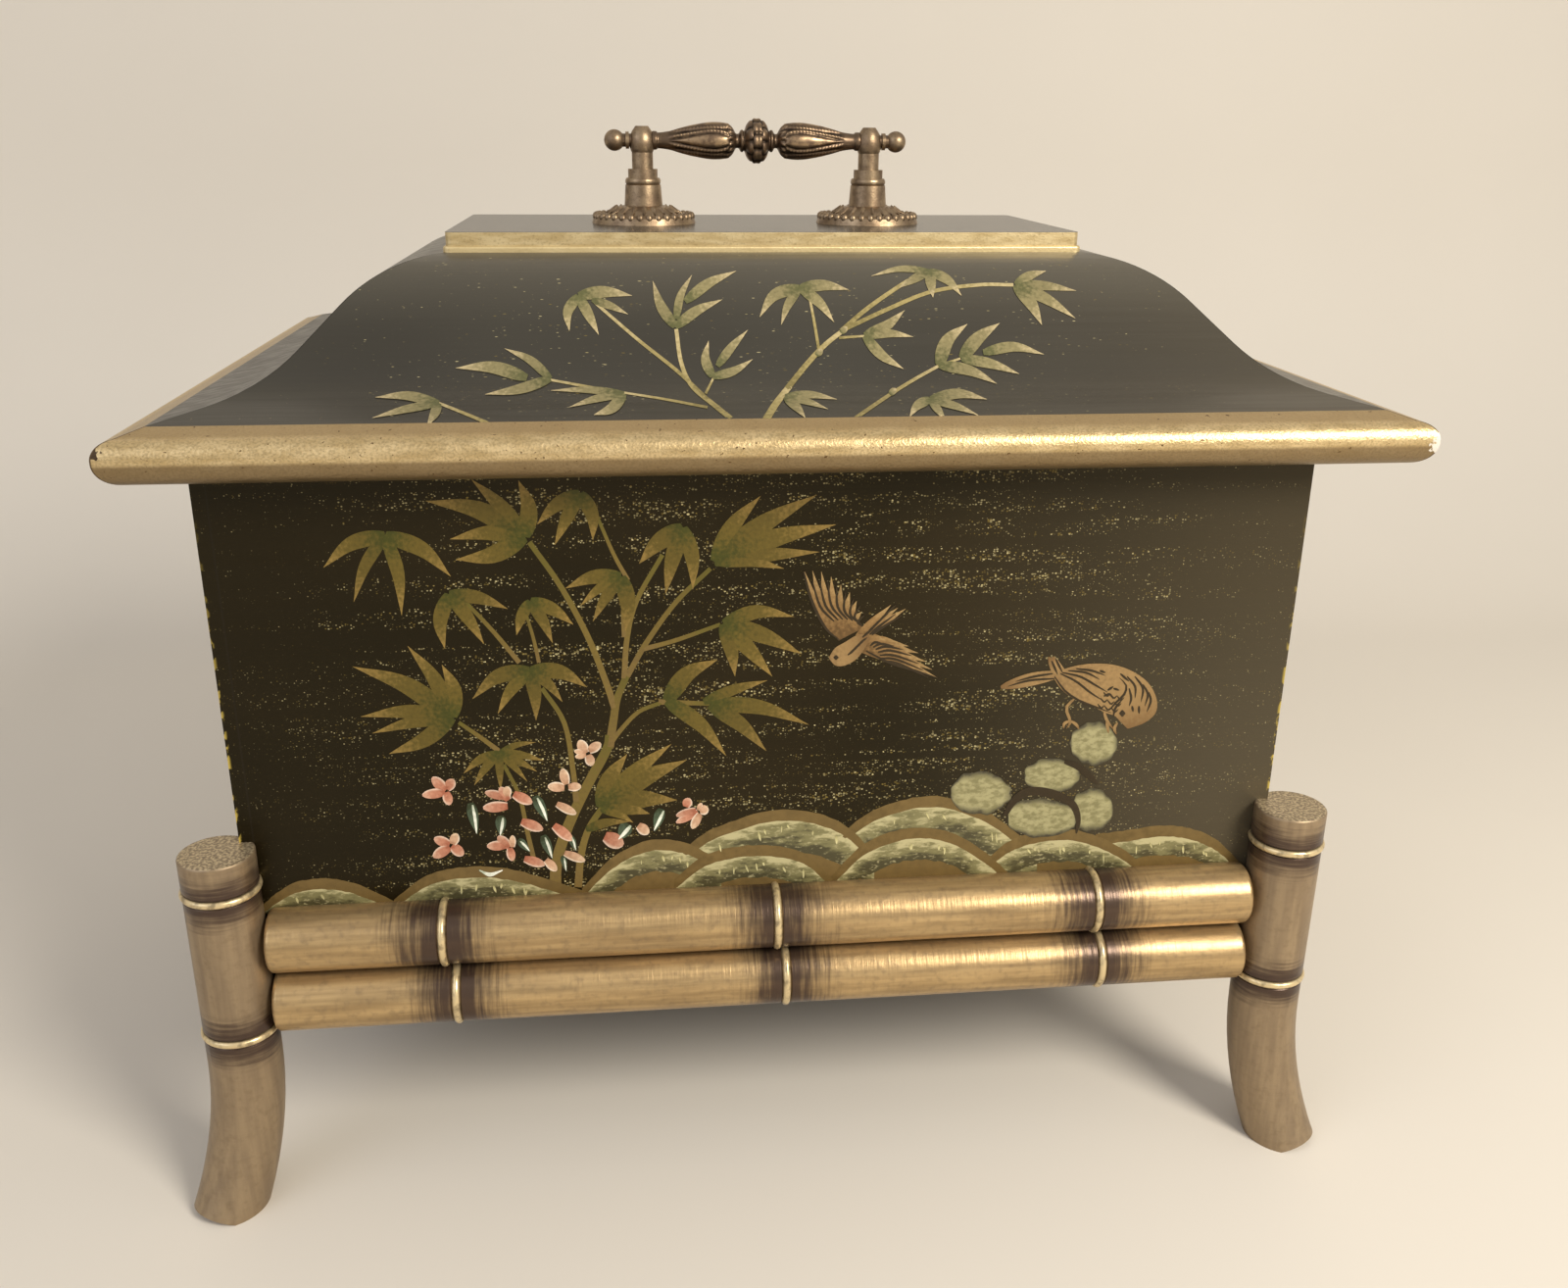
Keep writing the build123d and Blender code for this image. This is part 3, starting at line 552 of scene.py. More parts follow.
def smooth(points, count):
    """count points on a smooth curve through the given ones"""
    pts = [Vector((*p, 0.0)) for p in points]
    if len(pts) == 2:
        return [pts[0].lerp(pts[1], i / (count - 1)) for i in range(count)]
    ends = [2 * pts[0] - pts[1]] + pts + [2 * pts[-1] - pts[-2]]
    made = []
    for i in range(count):
        t = i / (count - 1) * (len(pts) - 1)
        k = min(int(t), len(pts) - 2)
        f = t - k
        a, b, c, d = ends[k:k + 4]
        made.append(0.5 * (2 * b + (c - a) * f + (2 * a - 5 * b + 4 * c - d) * f * f
                           + (3 * b - a - 3 * c + d) * f ** 3))
    return made


class Paint:
    """strokes of one colour on one board, gathered into one piece"""

    def __init__(self, name, target, lift=0.10):
        self.name, self.target, self.lift = name, target, lift
        self.verts, self.faces, self.uvs, self.count = [], [], [], 0

    def rows(self, rows, crown=0.012):
        """rows of points across the stroke, from its start to its end"""
        height = self.lift + STROKE_RISE * self.count
        first = len(self.verts)
        wide = len(rows[0])
        for i, row in enumerate(rows):
            for j, point in enumerate(row):
                side = abs(2 * j / (wide - 1) - 1)
                lift = (height + crown * (1 - side * side)) * MM
                place_at = drop(point, self.target, lift)
                if place_at is None:
                    del self.verts[first:], self.uvs[first:]
                    return
                self.verts.append(place_at)
                self.uvs.append((i / (len(rows) - 1), self.count + 0.02 + 0.96 * j / (wide - 1)))
        for i in range(len(rows) - 1):
            for j in range(wide - 1):
                a = first + i * wide + j
                self.faces.append((a, a + wide, a + wide + 1, a + 1))
        self.count += 1

    def stroke(self, points, width, profile, count=12):
        """a brush stroke along points; profile gives the width from start to end"""
        line = smooth(points, count)
        rows = []
        for i, p in enumerate(line):
            run = line[min(i + 1, count - 1)] - line[max(i - 1, 0)]
            side = Vector((-run.y, run.x)).normalized()
            half = max(width * profile(i / (count - 1)) / 2, LEAST_HALF)
            rows.append([(p.x + side.x * half * s, p.y + side.y * half * s)
                         for s in (-1, -0.4, 0.4, 1)])
        self.rows(rows)

    def patch(self, top, bottom, count=16, ragged=0.0, across=5):
        """colour between two edges"""
        upper, lower = smooth(top, count), smooth(bottom, count)
        rows = []
        for i, (p, q) in enumerate(zip(upper, lower)):
            if 0 < i < count - 1 and ragged:
                p = p + Vector((0, chance.uniform(-ragged, ragged), 0))
                q = q + Vector((0, chance.uniform(-ragged, ragged), 0))
            rows.append([tuple(p.lerp(q, j / (across - 1)))[:2] for j in range(across)])
        self.rows(rows, 0.01)

    def finish(self, material, body, thickness=0.05):
        """makes the piece, thickness millimetres thick, and gives it to its body"""
        mesh = bpy.data.meshes.new(self.name)
        mesh.from_pydata(self.verts, [], self.faces)
        layer = mesh.uv_layers.new(name="stroke")
        for loop in mesh.loops:
            layer.data[loop.index].uv = self.uvs[loop.vertex_index]
        piece = bpy.data.objects.new(self.name, mesh)
        bpy.context.collection.objects.link(piece)
        mesh.materials.append(material)
        bpy.ops.object.select_all(action="DESELECT")
        bpy.context.view_layer.objects.active = piece
        piece.select_set(True)
        if sum(p.normal.dot(EYE - p.center) for p in mesh.polygons) < 0:
            mesh.flip_normals()
        depth = piece.modifiers.new("depth", "SOLIDIFY")
        depth.thickness = thickness * MM
        depth.offset = -1.0
        bpy.ops.object.modifier_apply(modifier="depth")
        bpy.ops.object.shade_smooth_by_angle(angle=math.radians(35))
        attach(piece, body)
        print(self.name, "has", self.count, "strokes and", len(mesh.polygons), "faces")


# how wide a stroke is along its length, as t runs from 0 to 1
def leaf_shape(t):
    return (t + 0.06) ** 0.6 * (1 - t) ** 1.1 / 0.366


def stem_shape(t):
    return 1.0 - 0.25 * t


def petal_shape(t):
    return math.sin(math.pi * (0.14 + 0.84 * t ** 1.15)) ** 0.55


def line_shape(t):
    return math.sin(math.pi * (0.12 + 0.86 * t)) ** 0.7


chance = random.Random(11)
print("brushes ready")

# %% [markdown]
# ## Paint colours
# Each colour is an oil paint with a soft varnish. Along a stroke the brush first leaves green
# and then gold, so the colour follows the stroke's own UV map: U runs along it, and the whole
# part of V numbers the strokes, which gives each one a slightly different tone.


# %% Paint materials
def paint(name, start, middle, end, spread=0.10, edge=None, edge_at=0.75, grain=1.2):
    """three colours along a stroke, and maybe one on its far side"""
    mat, tree, shader, place = start_material(name)
    uv = add(tree, "UVMap", uv_map="stroke")
    parts = add(tree, "SeparateXYZ", uv).node.outputs
    number = add(tree, "Math", parts["Y"], operation="FLOOR")
    across = add(tree, "Math", parts["Y"], number, operation="SUBTRACT")
    tint = add(tree, "TexWhiteNoise", {"W": number}, noise_dimensions="1D")
    mottle = stretched(tree, place, (grain,) * 3, 3.0, 4.9)
    along = add(tree, "Math", parts["X"], swing(tree, mottle, 0.7), operation="ADD")
    colour = add(tree, "Mix", add(tree, "MapRange", along, 0.02, 0.42), start, middle)
    colour = add(tree, "Mix", add(tree, "MapRange", along, 0.50, 1.0), colour, end)
    if edge:
        colour = add(tree, "Mix", add(tree, "MapRange", across, edge_at, 1.0), colour, edge)
    light = add(tree, "MapRange", tint, 0.0, 1.0, 1 - spread, 1 + spread,
                interpolation_type="LINEAR")
    light = add(tree, "Math", light, add(tree, "MapRange", mottle, 0.2, 0.8, 0.86, 1.12),
                operation="MULTIPLY")
    colour = add(tree, "VectorMath", colour, light, operation="SCALE")
    feed(tree, shader, {"Base Color": colour, "Roughness": 0.45,
                        "Specular Tint": "#fff0c8"})
    feed(tree, shader,
         {"Normal": add(tree, "Bump",
                        {"Height": mottle, "Distance": 0.08 * MM, "Strength": 0.5})})
    return mat


def wash(name, top, middle, low):
    """colour laid in three uneven bands down a hill, scuffed by the brush"""
    mat, tree, shader, place = start_material(name)
    uv = add(tree, "UVMap", uv_map="stroke")
    across = add(tree, "Math", add(tree, "SeparateXYZ", uv).node.outputs["Y"],
                 operation="FRACT")
    scuff = stretched(tree, place, (8, 5, 2.6), 5.0, 5.9, 0.65)
    fine = stretched(tree, place, (1.6, 1.6, 0.8), 3.0, 2.7)
    down = add(tree, "Math", across, swing(tree, scuff, 2.0), operation="ADD")
    colour = add(tree, "Mix", add(tree, "MapRange", down, 0.12, 0.42), top, middle)
    colour = add(tree, "Mix", add(tree, "MapRange", down, 0.45, 0.85), colour, low)
    colour = add(tree, "Mix", add(tree, "MapRange", fine, 0.56, 0.72, 0.0, 0.6), colour, top)
    feed(tree, shader, {"Base Color": colour, "Roughness": 0.5})
    feed(tree, shader,
         {"Normal": add(tree, "Bump",
                        {"Height": scuff, "Distance": 0.12 * MM, "Strength": 0.5})})
    return mat


def dab(name, shade, light, edge):
    """a round dab whose edge is thin and lets the dark ground through"""
    mat, tree, shader, place = start_material(name)
    uv = add(tree, "UVMap", uv_map="stroke")
    parts = add(tree, "SeparateXYZ", uv).node.outputs
    across = add(tree, "Math", add(tree, "Math", parts["Y"], operation="FRACT"), 0.5,
                 operation="SUBTRACT")
    along = add(tree, "Math", parts["X"], 0.5, operation="SUBTRACT")
    out = add(tree, "Math", add(tree, "Math", across, operation="ABSOLUTE"),
              add(tree, "Math", along, operation="ABSOLUTE"), operation="MAXIMUM")
    swirl = stretched(tree, place, (2.2, 2.2, 1.4), 4.0, 7.3, 0.6)
    out = add(tree, "Math", out, swing(tree, swirl, 0.25), operation="ADD")
    colour = add(tree, "Mix", add(tree, "MapRange", swirl, 0.35, 0.65), shade, light)
    colour = add(tree, "Mix", add(tree, "MapRange", out, 0.30, 0.50), colour, edge)
    feed(tree, shader, {"Base Color": colour, "Roughness": 0.5})
    feed(tree, shader,
         {"Normal": add(tree, "Bump",
                        {"Height": swirl, "Distance": 0.12 * MM, "Strength": 0.6})})
    return mat


leaf_box = paint("olive gold leaf paint", "#373a0e", "#584a1a", "#806834")
stem_box = paint("ochre stem paint", "#6c5830", "#675627", "#564e1c", 0.05)
leaf_lid = paint("pale gold leaf paint", "#5a5a38", "#847a55", "#b3a27b")
stem_lid = paint("pale gold stem paint", "#7b6f44", "#978858", "#b0a075", 0.05)
blossom = paint("salmon petal paint", "#9c5c46", "#b0775f", "#c0957d", 0.10, "#d6bba6", 0.68)
pale_blossom = paint("pale petal paint", "#a87e62", "#bd977a", "#cbae90", 0.10, "#e0cfb9",
                     0.70)
teal = paint("teal leaf paint", "#23301f", "#3d4d3c", "#55664f", 0.1)
white = paint("white highlight paint", "#a9b29a", "#d9dccb", "#eceadb", 0.1)
ochre = paint("ochre hill paint", "#5f4c29", "#67532f", "#63502c", 0.08, grain=2.4)
moss = wash("moss green wash", "#b1a87c", "#767048", "#403b20")
cream = paint("pale green drips", "#a39c6c", "#bdb583", "#cbc292", 0.12)
stone = dab("pale green stone paint", "#7a744c", "#9d966b", "#352f1c")
dark_line = paint("brown black line paint", "#20160f", "#241a11", "#291e14", 0.1)
feather = paint("buff feather paint", "#5c4326", "#80623b", "#957a50", 0.10)
body_buff = paint("buff bird paint", "#806541", "#8d7149", "#6d5131", 0.05)
print("fifteen oil colours mixed")

# %% [markdown]
# ## Bamboo on the front board
# A bamboo leaf is one press of a round brush: narrow, then wide, then lifted to a point. Each
# spray is listed as the point where its leaves meet, and for each leaf its tip, width and
# bend. Stems are drawn first, so that the leaves lie over them.


# %% Sprays of leaves
def spray(painting, root, leaves, fullness):
    """leaves from one root: x, y, width, then maybe a bend and a root of its own"""
    for leaf in leaves:
        x, y, width = leaf[:3]
        bend = leaf[3] if len(leaf) > 3 else 0.0
        start = leaf[4:6] if len(leaf) > 5 else root
        mid = ((start[0] + x) / 2 - (y - start[1]) * bend,
               (start[1] + y) / 2 + (x - start[0]) * bend)
        painting.stroke([start, mid, (x, y)], width * fullness, leaf_shape, 13)


stems = Paint("bamboo_stems_front", "box_front", 0.04)
for width, line in (
    (12, [(567, 912), (568, 880), (580, 842), (600, 800), (619, 765), (622, 750)]),
    (9, [(622, 762), (626, 735), (630, 712), (640, 688)]),
    (7, [(627, 722), (618, 695), (600, 650), (572, 598), (540, 553)]),
    (6, [(637, 692), (640, 650), (650, 612), (676, 566)]),
    (6, [(640, 690), (660, 655), (690, 614), (725, 580)]),
    (5, [(657, 662), (690, 653), (735, 637)]),
    (4.5, [(641, 592), (626, 565), (609, 526)]),
    (5, [(637, 650), (636, 620), (640, 596)]),
    (5, [(622, 760), (634, 744), (652, 726), (677, 716)]),
    (5.5, [(672, 716), (700, 717), (728, 718)]),
    (6, [(588, 818), (585, 788), (576, 738), (553, 702)]),
    (5, [(530, 676), (504, 645), (475, 614)]),
    (4, [(550, 676), (544, 650), (536, 624)]),
    (5, [(509, 766), (490, 752), (468, 737)]),
    (5, [(546, 882), (538, 848), (530, 812), (514, 780)]),
    (8, [(590, 905), (593, 872), (601, 845), (616, 822)]),
):
    stems.stroke(line, width, stem_shape, 16)
stems.finish(stem_box, "chest")

leaves_front = Paint("bamboo_leaves_front", "box_front", 0.07)
for root, leaves in (
    ((393, 546), [(330, 579, 17, .12), (361, 614, 14, .07), (410, 628, 15, -.06),
                  (460, 588, 18, -.1)]),
    ((536, 548), [(434, 511, 21, .09), (481, 489, 17, .04), (529, 490, 19, .12),
                  (459, 550, 17, .07), (465, 571, 20, -.09)]),
    ((592, 503), [(548, 535, 16, .08), (566, 556, 15, .02), (605, 551, 16, -.12)]),
    ((458, 606), [(518, 621, 15, -.06), (494, 657, 15, -.03), (454, 662, 17, .12)]),
    ((541, 613), [(585, 637, 15, -.07), (564, 656, 13, -.04), (527, 648, 13, .06)]),
    ((541, 684), [(482, 713, 17, .14), (508, 728, 14, .07), (547, 735, 15, -.04),
                  (574, 716, 12, -.07), (599, 701, 17, -.12)]),
    ((462, 732), [(360, 680, 20, .07), (416, 659, 17, .06), (451, 678, 18, .12),
                  (368, 731, 16, .06), (380, 748, 14, .04), (397, 769, 18, -.07)]),
    ((509, 768), [(547, 757, 7, -.07), (555, 776, 9, -.04), (548, 787, 9, -.03),
                  (538, 797, 8, -.03), (511, 806, 9, -0), (484, 801, 10, .04),
                  (473, 789, 10, .09)]),
    ((634, 588), [(577, 600, 16, .09), (592, 618, 11, .06), (605, 634, 13, .04),
                  (638, 644, 18, -.08)]),
    ((697, 538), [(652, 575, 20, .07), (679, 606, 18, .03), (707, 601, 17, -.07)]),
    ((729, 573), [(776, 506, 19, -.07), (833, 505, 22, -.04), (853, 535, 22, -.04),
                  (836, 563, 17, -.02), (800, 580, 14, -.06)]),
    ((738, 636), [(810, 629, 16, -.12), (818, 667, 19, -.04), (788, 690, 18, -.02),
                  (750, 690, 17, -.04)]),
    ((680, 715), [(732, 673, 19, -.12), (783, 694, 12, -.03, 718, 716),
                  (741, 771, 17, -.07), (825, 739, 17, -.07, 724, 718),
                  (782, 766, 17, -.06, 724, 719)]),
    ((613, 824), [(640, 769, 20, -.08), (685, 759, 19, -.04), (701, 775, 22, -.05),
                  (691, 816, 22, -.06), (663, 830, 17, -.06), (646, 839, 11, -.06)]),
    ((598, 846), [(642, 838, 10, -.07)]),
):
    spray(leaves_front, root, leaves, 0.96)
leaves_front.finish(leaf_box, "chest")

# %% [markdown]
# ## Bamboo on the lid
# The roof carries the same plant in a paler gold. The roof is curved, so short steps along
# each stroke keep the paint close to it.

# %% Stems and leaves on the roof
stems_lid = Paint("bamboo_stems_lid", "lid_roof_front", 0.16)
for width, line in (
    (6.5, [(753, 433), (728, 413), (706, 394), (695, 370), (690, 336)]),
    (5, [(722, 408), (690, 378), (650, 346), (606, 308)]),
    (3.5, [(720, 402), (724, 394), (729, 384)]),
    (3.5, [(722, 416), (680, 408), (637, 401)]),
    (4, [(637, 402), (600, 395), (562, 388)]),
    (4.5, [(507, 436), (476, 423), (446, 411)]),
    (10, [(779, 433), (792, 412), (806, 394)]),
    (7.5, [(803, 397), (824, 371), (842, 352), (862, 336)]),
    (4, [(836, 360), (831, 330), (825, 298)]),
    (6, [(858, 338), (885, 315), (918, 292), (945, 276)]),
    (5.5, [(862, 336), (905, 316), (950, 298), (998, 291), (1034, 291)]),
    (3.5, [(856, 345), (868, 344), (883, 343)]),
    (5, [(864, 433), (905, 405), (932, 388), (957, 374)]),
    (3.5, [(957, 374), (968, 370), (980, 366)]),
):
    stems_lid.stroke(line, 0.8 * width, stem_shape, 26)
stems_lid.finish(stem_lid, "lid")

leaves_lid = Paint("bamboo_leaves_lid", "lid_roof_front", 0.20)
for root, leaves in (
    ((590, 302), [(645, 302, 15, -.07), (641, 321, 10, -.03, 604, 306), (611, 342, 13, -.01),
                  (581, 338, 13, .17)]),
    ((689, 334), [(666, 287, 13, -.07), (706, 281, 10, -.08, 690, 326),
                  (751, 277, 13, -.06, 699, 308), (737, 306, 13, -.06)]),
    ((727, 385), [(723, 348, 12, -.14), (763, 337, 11, -.03, 732, 374),
                  (768, 367, 11, .07)]),
    ((816, 294), [(775, 324, 15, .18), (797, 332, 11, .07), (851, 329, 13, -.07),
                  (866, 296, 14, -.07)]),
    ((948, 277), [(889, 282, 8, .08), (952, 304, 13, 0), (981, 302, 12, -.1),
                  (917, 294, 11, .01)]),
    ((1036, 291), [(1067, 277, 12, -.07), (1098, 297, 12, -.03), (1097, 325, 14, -.04),
                   (1063, 332, 16, -.06)]),
    ((882, 343), [(923, 317, 14, .07), (932, 344, 11, -.06), (922, 377, 13, .07)]),
    ((958, 373), [(987, 331, 17, -.14), (1017, 392, 14, -.07)]),
    ((981, 366), [(1020, 330, 17, -.07), (1065, 362, 13, -.11, 1003, 360), (1040, 382, 13, -.04)]),
    ((801, 405), [(854, 408, 10, -.06), (845, 418, 9, -.03), (822, 427, 12, -.04)]),
    ((949, 408), [(1007, 408, 13, -.1), (998, 424, 10, -.03), (965, 429, 10, 0),
                  (928, 426, 12, .13)]),
    ((562, 387), [(515, 356, 11, .08), (465, 376, 16, .08, 538, 386), (495, 403, 13, -.04)]),
    ((637, 402), [(562, 399, 9, .03), (581, 416, 10, .03), (606, 424, 14, -.13)]),
    ((448, 412), [(383, 406, 12, .07), (380, 427, 10, .02), (436, 434, 12, -.04)]),
):
    spray(leaves_lid, root, leaves, 0.85)
for x, y in ((836, 360), (861, 337), (911, 400)):
    leaves_lid.stroke([(x - 3, y + 3), (x + 3, y - 3)], 7, petal_shape, 5)
leaves_lid.finish(leaf_lid, "lid")

# %% [markdown]
# ## Hills along the foot
# Overlapping scalloped hills are an old lacquer ornament. Each hill is a band of ochre over
# a mossy green fill. The lowest hills lie in front, so the upper ones are painted first.

# %% Hills, in order from the back
HILLS = (
    [(1118, 852), (1150, 848), (1188, 843), (1218, 847), (1243, 859), (1264, 880)],
    [(858, 852), (885, 831), (918, 818), (950, 813), (980, 818), (1012, 832), (1045, 857),
     (1058, 872)],
    [(697, 868), (722, 849), (750, 838), (780, 829), (812, 827), (842, 833), (868, 847),
     (892, 872)],
    [(594, 907), (620, 880), (645, 864), (672, 857), (700, 861), (722, 872), (736, 890)],
    [(1004, 880), (1030, 859), (1060, 849), (1092, 847), (1122, 855), (1150, 870),
     (1170, 890)],
    [(848, 895), (880, 863), (912, 849), (942, 845), (972, 851), (1002, 868), (1030, 892)],
    [(688, 898), (720, 873), (758, 864), (792, 864), (824, 873), (850, 898)],
    [(402, 919), (430, 897), (460, 887), (498, 885), (532, 890), (566, 900), (604, 912)],
    [(266, 926), (285, 910), (305, 900), (332, 897), (362, 902), (406, 922)],
)


def behind_rail(x):
    """a little below the top edge of the upper rail in the picture"""
    return 932 - (x - 270) * 0.040


hill_order = []
ground = Paint("hill_ground", "box_front", 0.03)
crests = [(266, 928), (300, 904), (350, 906), (404, 922), (440, 897), (500, 892),
          (560, 904), (600, 910), (640, 872), (700, 866), (750, 845), (810, 832),
          (860, 850), (900, 832), (950, 820), (1010, 838), (1060, 862), (1120, 858),
          (1190, 850), (1240, 864), (1264, 886)]
ground.patch(crests, [(x, behind_rail(x)) for x, _ in crests], 60, 0.0, 4)
hill_order.append((ground, ochre))
for number, crest in enumerate(HILLS):
    deep = 42 if number in (1, 2) else 32
    fill = Paint(f"hill_fill_{number + 1}", "box_front", 0.035 + 0.008 * number)
    inner = [(x, y + 7) for x, y in crest]
    fill.patch(inner, [(x, min(y + deep, behind_rail(x))) for x, y in crest], 40, 1.0, 9)
    band = Paint(f"hill_band_{number + 1}", "box_front", 0.039 + 0.008 * number)
    band.patch([(x, y - 1) for x, y in crest], [(x, y + 10.5) for x, y in crest], 36, 0.5, 4)
    hill_order += [(fill, moss), (band, ochre)]
for painting, colour in hill_order:
    painting.finish(colour, "chest", 0.03)

drips = Paint("hill_drips", "box_front", 0.12)
for crest in HILLS:
    line = smooth([(x, y + 14) for x, y in crest[1:-1]], 24)
    for p in line[2:-2]:
        if chance.random() < 0.32:
            x, y = p.x + chance.uniform(-4, 4), p.y + chance.uniform(0, 5)
            end = (x + chance.uniform(-1, 4), y + chance.uniform(3, 10))
            drips.stroke([(x, y), end], chance.uniform(1.2, 2.6), line_shape, 5)
drips.finish(cream, "chest")

# %% [markdown]
# ## Stones
# The bird stands on round stones, dabbed on with a ragged edge. One stone has a dark line
# round it where the ground colour was brushed again.

# %% Round stones
stones = Paint("stones", "box_front", 0.15)
for cx, cy, rx, ry in ((1000, 809, 31, 22), (1073, 791, 27, 18), (1114, 826, 21, 22),
                       (1116, 758, 25, 22), (1062, 834, 36, 20)):
    arc = [math.pi * i / 12 for i in range(13)]
    wob = [1 + chance.uniform(-0.07, 0.07) for _ in range(26)]
    top = [(cx - rx * math.cos(a) * wob[i], cy - ry * math.sin(a) * wob[i])
           for i, a in enumerate(arc)]
    low = [(cx - rx * math.cos(a) * wob[i], cy + ry * math.sin(a) * wob[13 + i])
           for i, a in enumerate(arc)]
    stones.patch(top, low, 34, 0.0, 9)
stones.finish(stone, "chest")

stone_lines = Paint("stone_lines", "box_front", 0.19)
stone_lines.stroke([(1025, 832), (1036, 815), (1052, 807), (1075, 810), (1094, 820),
                    (1100, 836), (1098, 850)], 9, line_shape, 24)
stone_lines.stroke([(1086, 777), (1100, 782), (1112, 792), (1120, 800)], 7, line_shape, 12)
stone_lines.finish(dark_line, "chest")

# %% [markdown]
# ## Birds
# Two small buff birds: one flies with open wings, one bends over the stones. Bodies are
# patches, feathers are single strokes, and fine dark lines part the feathers.

# %% Flying bird
bird = Paint("flying_bird", "box_front", 0.13)
lines = Paint("flying_bird_lines", "box_front", 0.21)
LEFT_TIPS = ((821, 583), (829, 582), (838, 583), (848, 588), (858, 596), (867, 604),
             (874, 613), (879, 624))
RIGHT_TIPS = ((956, 691), (951, 683), (945, 675), (937, 666), (927, 659), (916, 655),
              (904, 653))


def feather_stroke(root, tip, bow, width, gap):
    """one feather, and a dark line beside it that parts it from the next"""
    mid = ((root[0] + tip[0]) / 2 + bow[0], (root[1] + tip[1]) / 2 + bow[1])
    bird.stroke([root, mid, tip], width, leaf_shape, 12)
    start = (root[0] * 0.72 + tip[0] * 0.28 + gap[0], root[1] * 0.72 + tip[1] * 0.28 + gap[1])
    end = (tip[0] * 0.88 + root[0] * 0.12 + gap[0], tip[1] * 0.88 + root[1] * 0.12 + gap[1])
    lines.stroke([start, (mid[0] + gap[0], mid[1] + gap[1]), end], 2.6, line_shape, 9)


for tip in LEFT_TIPS:
    root = (858 + (tip[0] - 821) * 0.32, 652 - (tip[0] - 821) * 0.16)
    feather_stroke(root, tip, (-6, 0), 10, (3.4, 1.0))
for tip in RIGHT_TIPS:
    root = (878 + (956 - tip[0]) * 0.06, 662 - (956 - tip[0]) * 0.12)
    feather_stroke(root, tip, (0, -3), 10, (0.5, 3.6))
for tip in ((909, 617), (916, 620), (924, 621)):
    feather_stroke((872, 655), tip, (-1, 0), 10, (3.0, 2.0))
bird.finish(feather, "chest")
bird_body = Paint("flying_bird_body", "box_front", 0.165)
bird_body.patch([(846, 670), (852, 661), (862, 655), (874, 648), (886, 646)],
                [(846, 672), (853, 679), (864, 678), (876, 670), (888, 652)], 18, 0.0, 5)
bird_body.finish(body_buff, "chest")

for k in range(5):
    lines.stroke([(880 + 6 * k, 650 - 6 * k), (890 + 6 * k, 641 - 6 * k)], 2.5,
                 line_shape, 4)
    lines.stroke([(865 + 3 * k, 668 - 3 * k), (873 + 3 * k, 662 - 3 * k)], 2.2,
                 line_shape, 4)
lines.patch([(850.5, 670), (853, 668), (855.5, 670)], [(850.5, 671), (853, 673), (855.5, 671)],
            8, 0, 3)
lines.stroke([(820, 583), (828, 612), (842, 640), (857, 653)], 3.0, line_shape, 14)
lines.stroke([(884, 664), (908, 676), (934, 684), (956, 691)], 2.6, line_shape, 12)
lines.finish(dark_line, "chest")

# %% Bird on the stones
perched = Paint("perched_bird", "box_front", 0.17)
perched.stroke([(1078, 688), (1052, 693), (1021, 701)], 13, petal_shape, 12)
perched.stroke([(1086, 700), (1078, 686), (1070, 670)], 9, petal_shape, 8)
perched.stroke([(1088, 690), (1078, 678), (1074, 670)], 8, petal_shape, 8)
perched.patch(
    [(1074, 688), (1090, 681), (1112, 677), (1136, 678), (1156, 685), (1172, 697),
     (1180, 713), (1179, 727), (1168, 737), (1152, 743)],
    [(1074, 690), (1082, 702), (1094, 712), (1106, 717), (1118, 722), (1128, 727),
     (1137, 730), (1142, 735), (1147, 740), (1150, 743)], 34, 0.0, 9)
for leg in ([(1097, 712), (1088, 722), (1092, 736), (1088, 743)],
            [(1092, 735), (1098, 739), (1101, 744)], [(1092, 735), (1086, 738), (1085, 743)],
            [(1126, 724), (1129, 734), (1136, 744)], [(1129, 734), (1130, 742), (1131, 748)],
            [(1140, 737), (1137, 743), (1139, 749)]):
    perched.stroke(leg, 3.2, line_shape, 8)
perched.finish(body_buff, "chest")

marks = Paint("perched_bird_lines", "box_front", 0.22)
for mark in (
    [(1076, 692), (1050, 694), (1028, 700)], [(1074, 687), (1055, 690), (1036, 695)],
    [(1076, 690), (1086, 704), (1100, 714), (1118, 721), (1134, 727)],
    [(1082, 687), (1098, 695), (1112, 706), (1126, 715)],
    [(1084, 686), (1102, 690), (1118, 699), (1130, 706)],
    [(1090, 684), (1108, 686), (1122, 693)], [(1098, 682), (1114, 684), (1128, 689)],
    [(1132, 724), (1139, 716), (1147, 708), (1149, 699), (1142, 691)],
    [(1136, 730), (1138, 722), (1146, 712)], [(1073, 674), (1079, 688)],
    [(1077, 672), (1084, 686)], [(1122, 684), (1128, 686)], [(1130, 704), (1136, 700)],
    [(1126, 710), (1132, 708), (1136, 713)], [(1136, 702), (1142, 704)],
    [(1150, 690), (1158, 700), (1158, 712)], [(1158, 690), (1166, 702), (1164, 716)],
    [(1166, 698), (1171, 708), (1168, 720)], [(1172, 706), (1174, 715), (1170, 726)],
    [(1152, 702), (1154, 712), (1152, 720)], [(1143, 687), (1152, 695)],
    [(1155, 720), (1156, 726)], [(1162, 720), (1162, 728)],
):
    marks.stroke(mark, 2.4, line_shape, 9)
for x0, y0 in ((1126, 706), (1123, 712), (1120, 718)):
    for k in range(3):
        x, y = x0 + 7 * k, y0 + 2 * k
        marks.stroke([(x, y), (x + 3.5, y + 4), (x + 7, y + 1)], 1.8, line_shape, 6)
marks.patch([(1142, 727), (1145, 724), (1148, 727)], [(1142, 728), (1145, 731), (1148, 728)],
            8, 0, 3)
marks.finish(dark_line, "chest")

